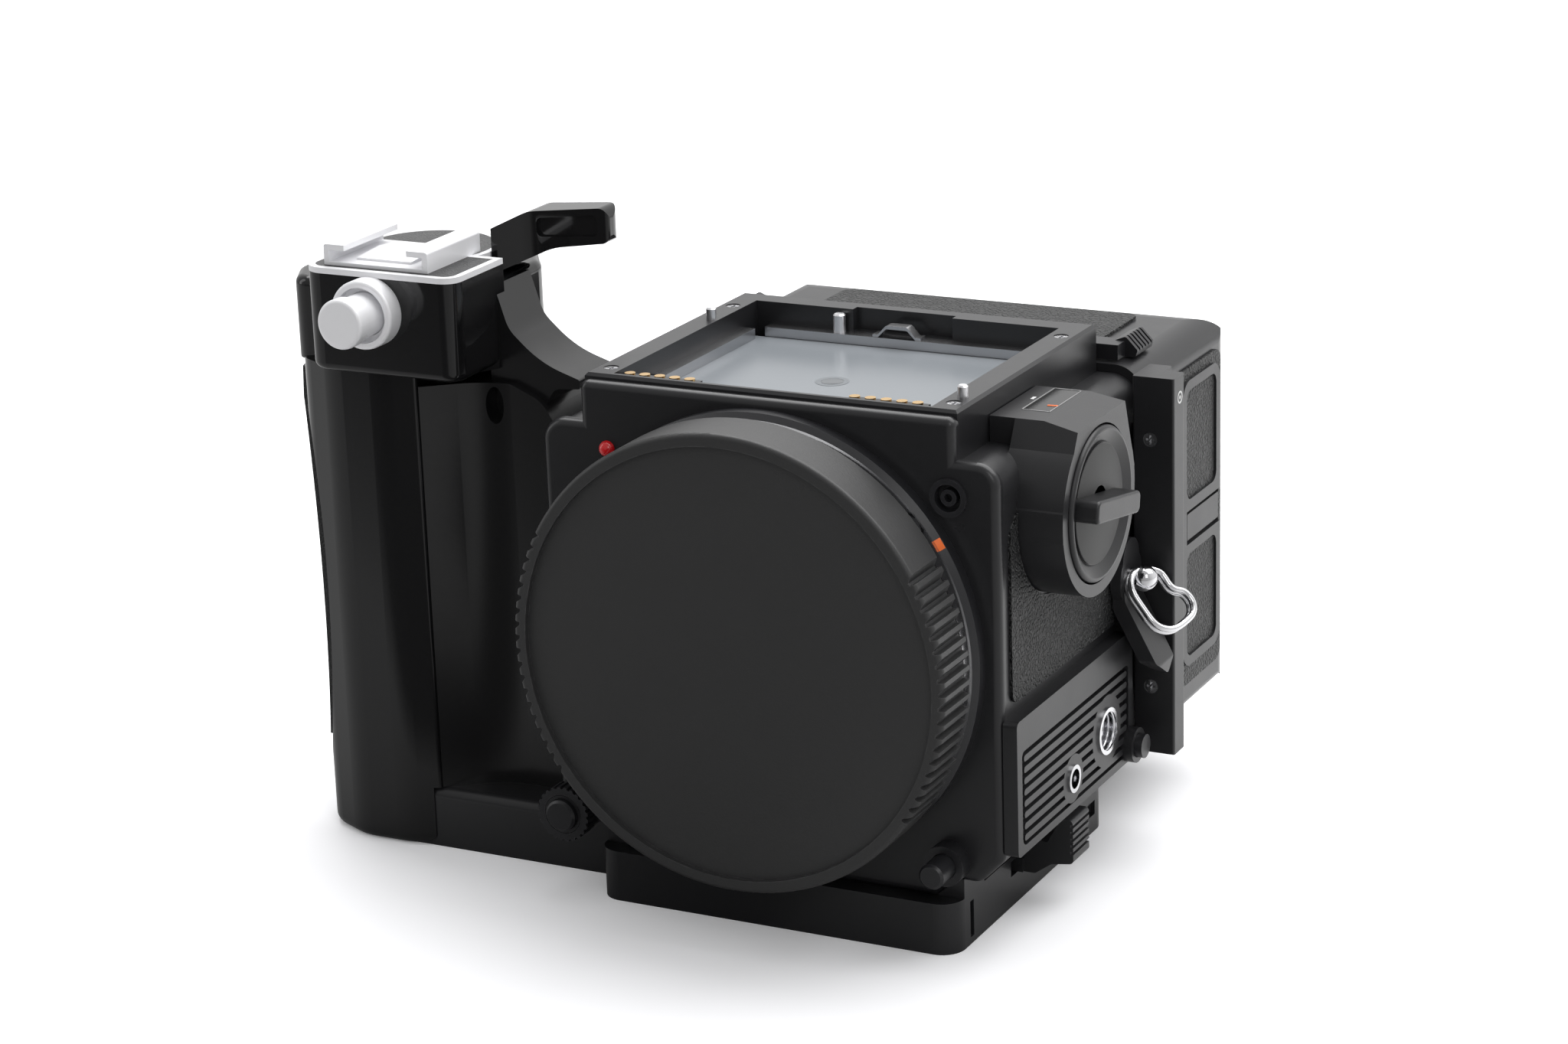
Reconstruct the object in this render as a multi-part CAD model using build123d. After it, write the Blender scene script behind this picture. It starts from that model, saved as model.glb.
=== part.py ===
from build123d import *
import os
from math import cos, pi, radians, sin

# Medium format camera body with film back, base plate and speed grip, in millimetres.
# x runs to the right seen from the front, y is the depth behind the front plate's face
# and z is the height above the base plate's underside. The export shifts every piece
# so that the origin lies at the mouth of the tripod socket.

# Driving dimensions
TRIPOD_DEPTH = 30.0
OPTIC_Z = 50.6
BODY_HALF = 41.5
BODY_TOP = 83.5
BODY_BACK = 60.0
BODY_WALL = 3.0
ROOM_HALF = BODY_HALF - BODY_WALL
PLATE_T = 2.0
PLATE_TOP = 91.0
MOUNT_BORE = 30.0
BAYONET_BORE = 29.0
CAP_R = 39.0
MOUNT_R = CAP_R - 0.2
GATE = (28.0, 21.0)
FINDER_HALF = BODY_HALF - 7.7
PLATE_HALF = FINDER_HALF + 0.2
FINDER_TOP = 91.9
WELL_HALF = 28.9
LIGHT_X = (-25.0, 25.0)
LIGHT_Y = (8.5, 50.5)
BACK_END = 103.0
HANDLE_SEAM = -82.4
GRIP_TOP = 104.6
LEVER_AXIS = (-75.7, 22.3)
SHAFT_AXIS = (22.3, 54.0)
DIAL_AXIS = (22.1, 72.5)
LUG_AXIS = (49.2, 51.0)

# Clearances and skins
RUN = 0.08
GAP = 0.3
SKIN = 0.5


# Shape helpers
def block(x, y, z):
    """A box between pairs of limits."""
    limits = (x, y, z)
    centre = [(low + high) / 2 for low, high in limits]
    size = [high - low for low, high in limits]
    return Pos(*centre) * Box(*size)


def rod_x(radius, x, y, z):
    return Pos((x[0] + x[1]) / 2, y, z) * Rot(0, 90, 0) * Cylinder(radius, x[1] - x[0])


def rod_y(radius, y, x, z):
    return Pos(x, (y[0] + y[1]) / 2, z) * Rot(90, 0, 0) * Cylinder(radius, y[1] - y[0])


def rod_z(radius, z, x, y):
    return Pos(x, y, (z[0] + z[1]) / 2) * Cylinder(radius, z[1] - z[0])


def ring_x(outer, inner, x, y, z):
    return rod_x(outer, x, y, z) - rod_x(inner, x, y, z)


def ring_y(outer, inner, y, x, z):
    return rod_y(outer, y, x, z) - rod_y(inner, y, x, z)


def outline(points):
    """A flat face whose corners are (u, v) or (u, v, corner radius)."""
    corners = [(point[0], point[1]) for point in points]
    radii = [point[2] if len(point) > 2 else 0 for point in points]
    return make_face(FilletPolyline(*corners, radius=radii, close=True))


def plate_x(points, x):
    """An outline in depth and height, drawn out along x."""
    return extrude(Plane.YZ.offset(x[0]) * outline(points), amount=x[1] - x[0])


def plate_y(points, y):
    """An outline in width and height, drawn out along the depth."""
    return extrude(Plane.XZ.offset(-y[1]) * outline(points), amount=y[1] - y[0])


def plate_z(points, z):
    """An outline in width and depth, drawn out along the height."""
    return extrude(Plane.XY.offset(z[0]) * outline(points), amount=z[1] - z[0])


def both_sides(shape):
    return Part() + [shape, mirror(shape, about=Plane.YZ)]


def pieces(*shapes):
    """Separate solids kept apart in one sub-part, even where they touch."""
    return Compound([solid for shape in shapes for solid in shape.solids()])


def cross_slot(width, length, depth, x, y, top):
    """A cross recess in a screw head that faces up."""
    long_way = block((x - length / 2, x + length / 2), (y - width / 2, y + width / 2), (top - depth, top))
    short_way = block((x - width / 2, x + width / 2), (y - length / 2, y + length / 2), (top - depth, top))
    return long_way + short_way


# Body casting and front plate
BODY_FOOT = [(BODY_HALF - 12.5, 9), (BODY_HALF - 8.5, 12.4, 1), (BODY_HALF - 4.5, 12.4, 3), (BODY_HALF, 17, 3)]
BODY_ROUND = 5.0
RELEASE = (3.0 - BODY_HALF, 15.0)
LENS_RELEASE = (32.0, 15.9)
REMOTE = (33.0, 78.1)
BUTTON_R = 2.8


def body_outline(top, half, corner):
    right = BODY_FOOT + [(half, top, corner)]
    left = [(-point[0],) + tuple(point[1:]) for point in reversed(right)]
    return right + left


def body_solid():
    return plate_y(body_outline(BODY_TOP, BODY_HALF, BODY_ROUND), (PLATE_T, BODY_BACK))


def make_body_shell():
    shell = body_solid()
    foot, sill = [(point[0], point[1] + BODY_WALL) for point in BODY_FOOT[:2]]
    room = plate_y(
        [foot, sill, (ROOM_HALF, sill[1]), (ROOM_HALF, BODY_TOP - BODY_WALL, 2),
         (-ROOM_HALF, BODY_TOP - BODY_WALL, 2), (-ROOM_HALF, sill[1]), (-sill[0], sill[1]),
         (-foot[0], foot[1])],
        (PLATE_T + BODY_WALL, BODY_BACK - BODY_WALL))
    shell -= room
    shell -= rod_y(MOUNT_BORE, (PLATE_T, PLATE_T + BODY_WALL), 0, OPTIC_Z)
    shell -= gate_hole((BODY_BACK - BODY_WALL, BODY_BACK))
    shell -= block(LIGHT_X, LIGHT_Y, (BODY_TOP - BODY_WALL, BODY_TOP))
    shell -= rod_x(DIAL_SHAFT_R + RUN, (ROOM_HALF, BODY_HALF), *DIAL_AXIS)
    shell -= rod_x(4 + RUN, (-BODY_HALF, -ROOM_HALF), *SHAFT_AXIS)
    shell -= rod_x(SOCKET_R, (ROOM_HALF, BODY_HALF), *SOCKET_AXIS)
    shell -= rod_x(SYNC_R, (ROOM_HALF + 1, BODY_HALF), *SYNC_AXIS)
    shell -= rod_x(LUG_R, (ROOM_HALF, BODY_HALF), *LUG_AXIS)
    shell -= rod_y(LENS_BUTTON_R + RUN, (PLATE_T, PLATE_T + BODY_WALL), *LENS_RELEASE)
    return shell


def gate_hole(y):
    half_wide, half_high = GATE
    return block((-half_wide, half_wide), y, (OPTIC_Z - half_high, OPTIC_Z + half_high))


def make_front_plate():
    wide = body_outline(84, BODY_HALF, 4)
    plate = plate_y(wide, (0, PLATE_T)) + plate_y(
        [(-PLATE_HALF, 60), (PLATE_HALF, 60), (PLATE_HALF, PLATE_TOP, 1.5), (-PLATE_HALF, PLATE_TOP, 1.5)],
        (0, PLATE_T))
    front = plate.faces().sort_by(Axis.Y)[0]
    plate = fillet(front.outer_wire().edges(), 1.4)
    plate -= rod_y(MOUNT_BORE, (0, PLATE_T), 0, OPTIC_Z)
    plate -= rod_y(REMOTE_R, (0, PLATE_T), *REMOTE)
    plate -= rod_y(LENS_COLLAR_R, (0, PLATE_T), *LENS_RELEASE)
    boss = rod_y(4.6, (-1, PLATE_T), *RELEASE) + rod_y(BOSS_R, (-4.6, -1), *RELEASE)
    plate += boss
    plate -= rod_y(BUTTON_R + RUN, (-4.6, 1.8), *RELEASE)
    return plate


DOT_ANGLE = radians(45.2)


def make_mount_ring():
    ring = ring_y(MOUNT_R, MOUNT_BORE, (-3.2, 0), 0, OPTIC_Z)
    outer_edge = ring.edges().filter_by(GeomType.CIRCLE).group_by(Axis.Y)[0].sort_by(SortBy.RADIUS)[-1]
    return chamfer(outer_edge, 1.0)


def make_bayonet_ring():
    return ring_y(MOUNT_R - 0.9, BAYONET_BORE, (-6.2, -3.2), 0, OPTIC_Z)


def make_alignment_dot():
    reach = MOUNT_R + 2.35
    x, z = -reach * cos(DOT_ANGLE), OPTIC_Z + reach * sin(DOT_ANGLE)
    return Pos(x, 0, z) * Sphere(1.4) - block((x - 2, x + 2), (0, 2), (z - 2, z + 2))


CAP_Y = (-16.4, -6.5)
CAP_RIM = 2.2
CAP_PLUG_R = 26.0
TOOTH_DEPTH = 1.1
TOOTH_STEP = 3.5
TOOTH_COUNT = 19
TOOTH_STARTS = (-35.0, 151.0)


def cap_tooth(angle):
    """A saw-tooth groove along the cap's edge, seen from the front."""
    corners = []
    root = CAP_R - TOOTH_DEPTH
    for reach, turn in ((CAP_R + 0.5, -0.15), (CAP_R + 0.5, 2.9), (root, 0.7), (root, 0)):
        place = radians(angle + turn)
        corners.append((reach * cos(place), OPTIC_Z + reach * sin(place)))
    return plate_y(corners, CAP_Y)


def make_body_cap():
    face = rod_y(CAP_R, CAP_Y, 0, OPTIC_Z)
    rim = face.edges().filter_by(GeomType.CIRCLE).group_by(Axis.Y)[0]
    face = fillet(rim, 0.8)
    face -= rod_y(CAP_R - CAP_RIM, (CAP_Y[0], CAP_Y[0] + 1), 0, OPTIC_Z)
    face -= rod_y(CAP_R - CAP_RIM, (CAP_Y[0] + 3, CAP_Y[1] - 2), 0, OPTIC_Z)
    face -= rod_y(CAP_PLUG_R, (CAP_Y[1] - 2, CAP_Y[1]), 0, OPTIC_Z)
    face -= [cap_tooth(start + TOOTH_STEP * step) for start in TOOTH_STARTS for step in range(TOOTH_COUNT)]
    skirt = ring_y(BAYONET_BORE - RUN, CAP_PLUG_R, (CAP_Y[1] - 2, -1), 0, OPTIC_Z)
    return face + skirt


# Mirror box, mirror and light baffle
MIRROR_AXIS = (54.0, 77.5)
BAFFLE_AXIS = (55.0, 73.6)
MIRROR_LENGTH = 46.0
BAFFLE_LENGTH = 46.0
PIVOT_R = 1.2
BOX_HALF = ROOM_HALF - 6.5
BOX_WALL = 2.0
MIRROR_HALF = BOX_HALF - 4.0


def make_mirror_box():
    depth = (PLATE_T + BODY_WALL, BODY_BACK - BODY_WALL)
    inner = BOX_HALF - BOX_WALL
    box = block((-BOX_HALF, BOX_HALF), depth, (18, BODY_TOP - BODY_WALL))
    box -= block((-inner, inner), depth, (18 + BOX_WALL, BODY_TOP - BODY_WALL))
    box -= rod_x(PIVOT_R + RUN, (-BOX_HALF, BOX_HALF), *MIRROR_AXIS)
    box -= rod_x(PIVOT_R + RUN, (-BOX_HALF, BOX_HALF), *BAFFLE_AXIS)
    return box


def tilted(shape):
    """Turns a shape drawn down the depth axis from the hinge to the mirror's slope."""
    y, z = MIRROR_AXIS
    return Pos(0, y, z) * Rot(45, 0, 0) * shape


def make_mirror_carrier():
    plate = block((-MIRROR_HALF, MIRROR_HALF), (-MIRROR_LENGTH, 2), (-PIVOT_R, 0))
    return tilted(plate) + rod_x(PIVOT_R, (0.5 - BOX_HALF, BOX_HALF - 0.5), *MIRROR_AXIS)


def make_mirror_glass():
    half = MIRROR_HALF - 0.5
    return tilted(block((-half, half), (0.5 - MIRROR_LENGTH, -3), (0, 1.5)))


def make_light_baffle():
    y, z = BAFFLE_AXIS
    half = MIRROR_HALF + 0.5
    plate = block((-half, half), (y - 0.5, y + 0.5), (z - BAFFLE_LENGTH, z))
    return plate + rod_x(PIVOT_R, (0.5 - BOX_HALF, BOX_HALF - 0.5), y, z)


# Finder well
SCREEN_BOTTOM = 84.8
SCREEN_TOP = 86.3
FINDER_FRONT = PLATE_T
FINDER_REAR = 59.6
FINDER_SCREWS = [(x, y) for x in (-31.2, 31.2) for y in (6.5, 50.4)]
CONTACT_ROWS = (-27.3, 14.0)
CONTACT_PITCH = 2.8
CONTACT_R = 0.9
CONTACT_Y = 5.8
CONTACT_LEDGE = 90.9
SCREEN_Y = (7.6, 52.0)
FINDER_PINS = [(-30.3, 40.5), (31.4, 9.6)]
PIN_R = 0.9
BRIDGE_TOP = 88.0


def contact_places():
    return [(start + CONTACT_PITCH * step, CONTACT_Y) for start in CONTACT_ROWS for step in range(5)]


def make_finder_frame():
    frame = block((-FINDER_HALF, FINDER_HALF), (FINDER_FRONT, FINDER_REAR), (BODY_TOP, FINDER_TOP))
    frame = chamfer(frame.edges().group_by(Axis.Z)[-1], 0.5)
    frame -= block((-WELL_HALF, WELL_HALF), (FINDER_FRONT + 1.2, 55), (BODY_TOP, FINDER_TOP))
    frame -= block((-10, 9), (55, 56.7), (BRIDGE_TOP, FINDER_TOP))
    for start in CONTACT_ROWS:
        low, high = start - 1.5, start + 4 * CONTACT_PITCH + 1.5
        frame += block((low, high), (FINDER_FRONT + 1.2, 7.4), (BODY_TOP, CONTACT_LEDGE))
    for x, y in FINDER_SCREWS:
        frame -= rod_z(1.3, (FINDER_TOP - 1, FINDER_TOP), x, y)
        frame -= rod_z(0.7, (86, FINDER_TOP - 1), x, y)
    for x, y in contact_places():
        frame -= rod_z(CONTACT_R, (CONTACT_LEDGE - 1.4, CONTACT_LEDGE), x, y)
    for x, y in FINDER_PINS:
        frame -= rod_z(PIN_R, (BRIDGE_TOP, FINDER_TOP), x, y)
    return frame


def make_finder_screws():
    screws = []
    for x, y in FINDER_SCREWS:
        screw = rod_z(1.3, (FINDER_TOP - 1, FINDER_TOP - 0.2), x, y) + rod_z(0.7, (86, FINDER_TOP - 1), x, y)
        screws.append(screw - cross_slot(0.4, 1.7, 0.5, x, y, FINDER_TOP - 0.2))
    return Part() + screws


def make_finder_pins():
    pins = [rod_z(PIN_R, (BRIDGE_TOP, FINDER_TOP + 2.1), x, y) for x, y in FINDER_PINS]
    pins.append(rod_z(1.1, (BRIDGE_TOP, FINDER_TOP - 0.6), -12, 53.6))
    rounded = [chamfer(pin.edges().group_by(Axis.Z)[-1], 0.25) for pin in pins]
    return Part() + rounded


def make_finder_contacts():
    height = (CONTACT_LEDGE - 1.4, CONTACT_LEDGE + 0.6)
    return Part() + [rod_z(CONTACT_R, height, x, y) for x, y in contact_places()]


def make_screen_frame():
    half = WELL_HALF - 0.4
    frame = block((-half, half), SCREEN_Y, (BODY_TOP, SCREEN_BOTTOM))
    return frame - block(LIGHT_X, LIGHT_Y, (BODY_TOP, SCREEN_BOTTOM))


def make_focusing_screen():
    half = WELL_HALF - 0.9
    return block((-half, half), SCREEN_Y, (SCREEN_BOTTOM, SCREEN_TOP))


def make_screen_springs():
    rail = block((WELL_HALF - 2.1, WELL_HALF), (17, 50), (SCREEN_TOP, 88.2))
    bridge = block((-26, 26), (52.2, 55), (BODY_TOP, BRIDGE_TOP))
    leaf = plate_y([(-4.6, 0), (-3.6, 0), (-2, 1.6, 0.5), (2, 1.6, 0.5), (3.6, 0), (4.6, 0),
                    (4.6, 0.5), (3.6, 0.5), (2, 2.2, 0.5), (-2, 2.2, 0.5), (-3.6, 0.5), (-4.6, 0.5)],
                   (52.4, 54.6))
    return Part() + [rail, mirror(rail, about=Plane.YZ), bridge + Pos(-0.5, 0, BRIDGE_TOP) * leaf]


# Dial housing and speed dial on the right side
HOUSING_R = 15.3
HOUSING_OUT = BODY_HALF + 8.1
HOUSING_TOP = 88.0
HOUSING_SIDE = [(14, HOUSING_TOP), (33, HOUSING_TOP), (37.3, 75), (37.3, 70), (6.9, 70), (6.9, 75)]
WINDOW = ((BODY_HALF - 4.1, BODY_HALF + 0.9), (19.0, 32.6), (HOUSING_TOP - 1, HOUSING_TOP))
DIAL_R = 12.95
DIAL_FACE = HOUSING_OUT + 0.65
DIAL_DEEP = 1.9
DISC_R = 10.0
DISC_X = DIAL_FACE - 1.1
DISH_R = 12.15
DRUM_X = (BOX_HALF + 1.4, ROOM_HALF - 0.7)
DIAL_SHAFT_R = 3.0


def housing_blank(grow, x):
    """The housing's side outline, grown by a margin, drawn out along x."""
    side = plate_x(HOUSING_SIDE, x) + rod_x(HOUSING_R + grow, x, *DIAL_AXIS)
    return side


def make_dial_housing():
    housing = housing_blank(0, (ROOM_HALF, HOUSING_OUT))
    housing += block((PLATE_HALF, BODY_HALF), (14, 33), (BODY_TOP, HOUSING_TOP))
    ridge = BODY_HALF + 2
    slope = plate_y([(ridge, HOUSING_TOP), (HOUSING_OUT, HOUSING_TOP - 1.2),
                     (HOUSING_OUT + 1, HOUSING_TOP), (HOUSING_OUT + 1, HOUSING_TOP + 1),
                     (ridge, HOUSING_TOP + 1)],
                    (0, 50))
    housing -= slope
    housing -= body_solid()
    housing -= block((30, BODY_HALF), (0, 60), (0, BODY_TOP - BODY_ROUND))
    housing -= block(*WINDOW)
    housing -= rod_x(DIAL_SHAFT_R + RUN, (ROOM_HALF, HOUSING_OUT), *DIAL_AXIS)
    housing -= rod_x(DIAL_R + GAP, (HOUSING_OUT - DIAL_DEEP - GAP, HOUSING_OUT), *DIAL_AXIS)
    return housing


def make_dial_window():
    return block(*WINDOW)


BAR_TURN = -9.7


def thumb_bar():
    """The dial's grip bar, turned to the set speed."""
    bar = block((DISC_X - 0.7, DIAL_FACE + 3.55), (-10.8, 7.6), (-1.9, 1.9))
    bar = fillet(bar.edges().filter_by(Axis.X), 1.2)
    bar = fillet(bar.edges().group_by(Axis.X)[-1], 0.5)
    return Pos(0, *DIAL_AXIS) * Rot(BAR_TURN, 0, 0) * bar


def make_shutter_dial():
    dial = rod_x(DIAL_R, (HOUSING_OUT - DIAL_DEEP, DIAL_FACE), *DIAL_AXIS)
    rim = dial.edges().filter_by(GeomType.CIRCLE).group_by(Axis.X)[-1]
    dial = fillet(rim, 0.7)
    dish = Cone(DISC_R + 0.1, DISH_R, DIAL_FACE - DISC_X)
    dial -= Pos((DISC_X + DIAL_FACE) / 2, *DIAL_AXIS) * Rot(0, 90, 0) * dish
    dial += rod_x(DIAL_SHAFT_R, (DRUM_X[0], HOUSING_OUT), *DIAL_AXIS)
    return dial + thumb_bar()


def make_dial_leather():
    return rod_x(DISC_R, (DISC_X, DISC_X + 0.4), *DIAL_AXIS) - thumb_bar()


def make_speed_drum():
    return ring_x(7, DIAL_SHAFT_R, DRUM_X, *DIAL_AXIS)


# Leathers on the body's sides
LEATHER_BOTTOM = 43.0
LEATHER_TOP = 78.4
HUB_CLEAR_R = 13.5


def make_body_leathers():
    skin = (BODY_HALF, BODY_HALF + SKIN)
    right = plate_x([(3.5, LEATHER_BOTTOM, 2), (52, LEATHER_BOTTOM, 1), (52, LEATHER_TOP, 1),
                     (10.5, LEATHER_TOP, 1), (3.5, 71.5, 2)], skin)
    right -= housing_blank(GAP, skin)
    right -= rod_x(LUG_R + GAP, skin, *LUG_AXIS)
    left = plate_x([(3.5, 20, 2), (57, 20, 2), (57, LEATHER_TOP, 2), (3.5, LEATHER_TOP, 2)], skin)
    left -= rod_x(HUB_CLEAR_R, skin, *SHAFT_AXIS)
    return Part() + [right, mirror(left, about=Plane.YZ)]


# Ribbed side panel with its sockets and button
PANEL_X = (BODY_HALF, BODY_HALF + 2.5)
PANEL_Y = (0.3, 50.0)
PANEL_Z = (17.8, 41.2)
FIELD_FLOOR = BODY_HALF + 1.5
RIB_COUNT = 8
RIB_TOP = 34.2
RIB_PITCH = 1.96
RIB_HALF = 0.55
SOCKET_AXIS = (38.2, 26.8)
SOCKET_R = 4.1
SOCKET_BORE = 3.4
SOCKET_MOUTH = BODY_HALF + 2.9
SYNC_AXIS = (23.4, 23.5)
SYNC_R = 2.4
SIDE_BUTTON = (48.3, 20.9)
SIDE_BUTTON_R = 2.1
SIDE_BOSS_OUT = BODY_HALF + 4.2


def make_side_panel():
    (y0, y1), (z0, z1) = PANEL_Y, PANEL_Z
    panel = plate_x([(y0, z0, 1), (y1, z0, 2), (y1, z1, 2), (y0, z1, 1)], PANEL_X)
    field = plate_x([(2.2, 19.2, 1.5), (48, 19.2, 1.5), (48, 35.6, 1), (2.2, 35.6, 1)],
                    (FIELD_FLOOR, PANEL_X[1]))
    reliefs = rod_x(6.3, PANEL_X, *SOCKET_AXIS) + rod_x(4.2, PANEL_X, *SYNC_AXIS)
    panel -= field - reliefs
    for step in range(RIB_COUNT):
        z = RIB_TOP - RIB_PITCH * step
        rib = plate_x([(3, z - RIB_HALF, 0.5), (47.2, z - RIB_HALF, 0.5),
                       (47.2, z + RIB_HALF, 0.5), (3, z + RIB_HALF, 0.5)], (FIELD_FLOOR, PANEL_X[1]))
        panel += rib
    panel += rod_x(3.1, (BODY_HALF, SIDE_BOSS_OUT), *SIDE_BUTTON)
    panel -= rod_x(SIDE_BUTTON_R + RUN, (BODY_HALF + 0.2, SIDE_BOSS_OUT), *SIDE_BUTTON)
    panel -= rod_x(SOCKET_R, PANEL_X, *SOCKET_AXIS)
    panel -= rod_x(SYNC_R, PANEL_X, *SYNC_AXIS)
    return panel


def make_accessory_socket():
    body = rod_x(SOCKET_R, (ROOM_HALF, SOCKET_MOUTH), *SOCKET_AXIS)
    return body - rod_x(SOCKET_BORE, (ROOM_HALF + 1, SOCKET_MOUTH), *SOCKET_AXIS)


def make_sync_terminal():
    cup = (BODY_HALF - 1, SOCKET_MOUTH)
    body = rod_x(SYNC_R, (BODY_HALF - 2, SOCKET_MOUTH), *SYNC_AXIS) - rod_x(1.7, cup, *SYNC_AXIS)
    return body + rod_x(0.5, (cup[0], SOCKET_MOUTH - 1.4), *SYNC_AXIS)


def make_side_button():
    return rod_x(SIDE_BUTTON_R, (BODY_HALF + 1.8, SIDE_BOSS_OUT + 1.4), *SIDE_BUTTON)


# Sockets and buttons on the front
REMOTE_R = 3.2
LENS_COLLAR_R = 3.5
LENS_BUTTON_R = 2.2
BOSS_R = 3.4
COLLAR_R = 4.9


def make_remote_socket():
    cup = ring_y(REMOTE_R, 2.3, (-0.6, PLATE_T), *REMOTE)
    floor = rod_y(2.3, (1.2, PLATE_T), *REMOTE)
    return cup + floor + ring_y(1.4, 0.7, (-0.3, 1.2), *REMOTE)


def make_lens_release_collar():
    return ring_y(LENS_COLLAR_R, LENS_BUTTON_R + RUN, (-3.0, PLATE_T), *LENS_RELEASE)


def make_lens_release_button():
    button = rod_y(LENS_BUTTON_R, (-8.0, 1.5), *LENS_RELEASE)
    return chamfer(button.edges().group_by(Axis.Y)[0], 0.4)


def make_release_lock_collar():
    collar = ring_y(COLLAR_R, BOSS_R + RUN, (-4.6, -1.0 - RUN), *RELEASE)
    for step in range(24):
        angle = 2 * pi * step / 24
        x, z = RELEASE[0] + COLLAR_R * cos(angle), RELEASE[1] + COLLAR_R * sin(angle)
        collar -= rod_y(0.35, (-4.6, -1), x, z)
    return collar


def make_release_button():
    button = rod_y(BUTTON_R, (-5.8, 0), *RELEASE)
    return chamfer(button.edges().group_by(Axis.Y)[0], 0.4)


# Exposure lever, strap lug and strap ring
LUG_R = 1.5
LUG_BALL_X = BODY_HALF + 5.1
LUG_BALL_R = 2.3
LOBE_R = 4.9
LOBE_LIFT = 3.2
LOBE_UPPER_R = 3.7
LOBE_X = (BODY_HALF + 0.8, BODY_HALF + 2.7)
WIRE_R = 0.6
RING_TURN = radians(30)
RING_LEAN = radians(40)
RING_PATH = [(-3.0, 0, 0.6), (3.0, 0, 0.6), (4.4, -2.7, 1.2), (6.5, -4.7, 1.2),
             (7.0, -6.6, 1.5), (5.2, -8.9, 1.5), (-0.1, -9.4, 1.5), (-2.7, -6.2, 1.5)]


def make_exposure_lever():
    y, z = LUG_AXIS
    x0, x1 = LOBE_X
    lobe = rod_x(LOBE_R, LOBE_X, y, z) + rod_x(LOBE_UPPER_R, LOBE_X, y, z + LOBE_LIFT)
    lobe += plate_x([(y - LOBE_R, z), (y + LOBE_R, z), (y + LOBE_UPPER_R, z + LOBE_LIFT),
                     (y - LOBE_UPPER_R, z + LOBE_LIFT)], LOBE_X)
    silhouette = plate_x([(y - 3.9, z), (y + 4.2, z), (y + 3.7, 36.5, 1), (y + 1.2, 34, 1), (y - 3.6, 37, 1)],
                         (x0, x0 + 9))
    slant = plate_y([(x0, z), (x1, z), (x1 + 0.4, 47.5, 3), (x0 + 8.1, 36.5, 1), (x0 + 8.1, 33.5),
                     (x0 + 6.6, 33.5), (x0, 46, 3)], (40, 56))
    lever = lobe + (silhouette & slant)
    return lever - rod_x(LUG_R + RUN, (x0, x1 + 1), y, z)


def ring_plane():
    along = Vector(sin(RING_TURN), cos(RING_TURN), 0)
    outward = Vector(cos(RING_TURN), -sin(RING_TURN), 0)
    down = outward * sin(RING_LEAN) - Vector(0, 0, 1) * cos(RING_LEAN)
    return Plane(origin=(LUG_BALL_X, *LUG_AXIS), x_dir=along, z_dir=down.cross(along))


def make_strap_lug():
    post = rod_x(LUG_R, (ROOM_HALF, LUG_BALL_X), *LUG_AXIS)
    ball = Pos(LUG_BALL_X, *LUG_AXIS) * Sphere(LUG_BALL_R)
    hole = ring_plane() * Rot(0, 90, 0) * Cylinder(WIRE_R + RUN, 3 * LUG_BALL_R)
    return post + ball - hole


def make_strap_ring():
    corners = [(t, v) for t, v, _ in RING_PATH]
    bends = [bend for _, _, bend in RING_PATH]
    path = ring_plane() * FilletPolyline(*corners, radius=bends, close=True)
    return sweep(Plane(origin=path @ 0, z_dir=path % 0) * Circle(WIRE_R), path=path)


# Film back: frame with the dark slide, shell, door, latches and trims
BACK_HALF = BODY_HALF + 0.5
BACK_Z = (16.3, 85.0)
FRAME_END = 68.5
SHELL_END = 99.5
DOOR_AXIS = (101.4, 18.05)
DOOR_R = 1.6
DOOR_KNUCKLE_X = BACK_HALF - 8.0
DOOR_PIN_R = 1.0
KNUCKLE_R = 1.75
SHELL_ROOM_X = BACK_HALF - 3.0
ROUND_SIDE = 6.0
ROUND_TOP = 11.0
ROUND_INSIDE = 8.5
SLIDE_Y = (61.0, 61.6)
SLIDE_Z = (26.5, 74.5)
HANDLE_X = (BACK_HALF + 0.5, BACK_HALF + 8.0)
HANDLE_Y = (54.3, 59.3)
HANDLE_Z = (17.5, 85.0)
LATCH_ARM = ((20.0, BACK_HALF - 5.0), (61.5, 66.0), (85.3, 88.0))
SLIDE_SCREW_Z = (29.6, 74.0)
SLIDE_SCREW_R = 1.25
SPOOL_Y = 87.2
SPINDLE_R = 2.5
SUPPLY_Z = 33.5
TAKEUP_Z = 68.5


def back_outline():
    low, high = BACK_Z
    return [(BACK_HALF, low, 1.5), (BACK_HALF, high, 5), (-BACK_HALF, high, 5), (-BACK_HALF, low, 1.5)]


def grown(limits, margin):
    return (limits[0] - margin, limits[1] + margin)


def back_plan():
    """The room seen from above, rounded at the two rear corners."""
    return plate_z([(-BACK_HALF, FRAME_END), (BACK_HALF, FRAME_END), (BACK_HALF, BACK_END, ROUND_SIDE),
                    (-BACK_HALF, BACK_END, ROUND_SIDE)], BACK_Z)


def back_envelope():
    """The rounded room that the shell and the door stay within."""
    low, high = BACK_Z
    side = plate_x([(FRAME_END, low), (BACK_END, low), (BACK_END, high, ROUND_TOP), (FRAME_END, high)],
                   (-BACK_HALF, BACK_HALF))
    return back_plan() & side


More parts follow.
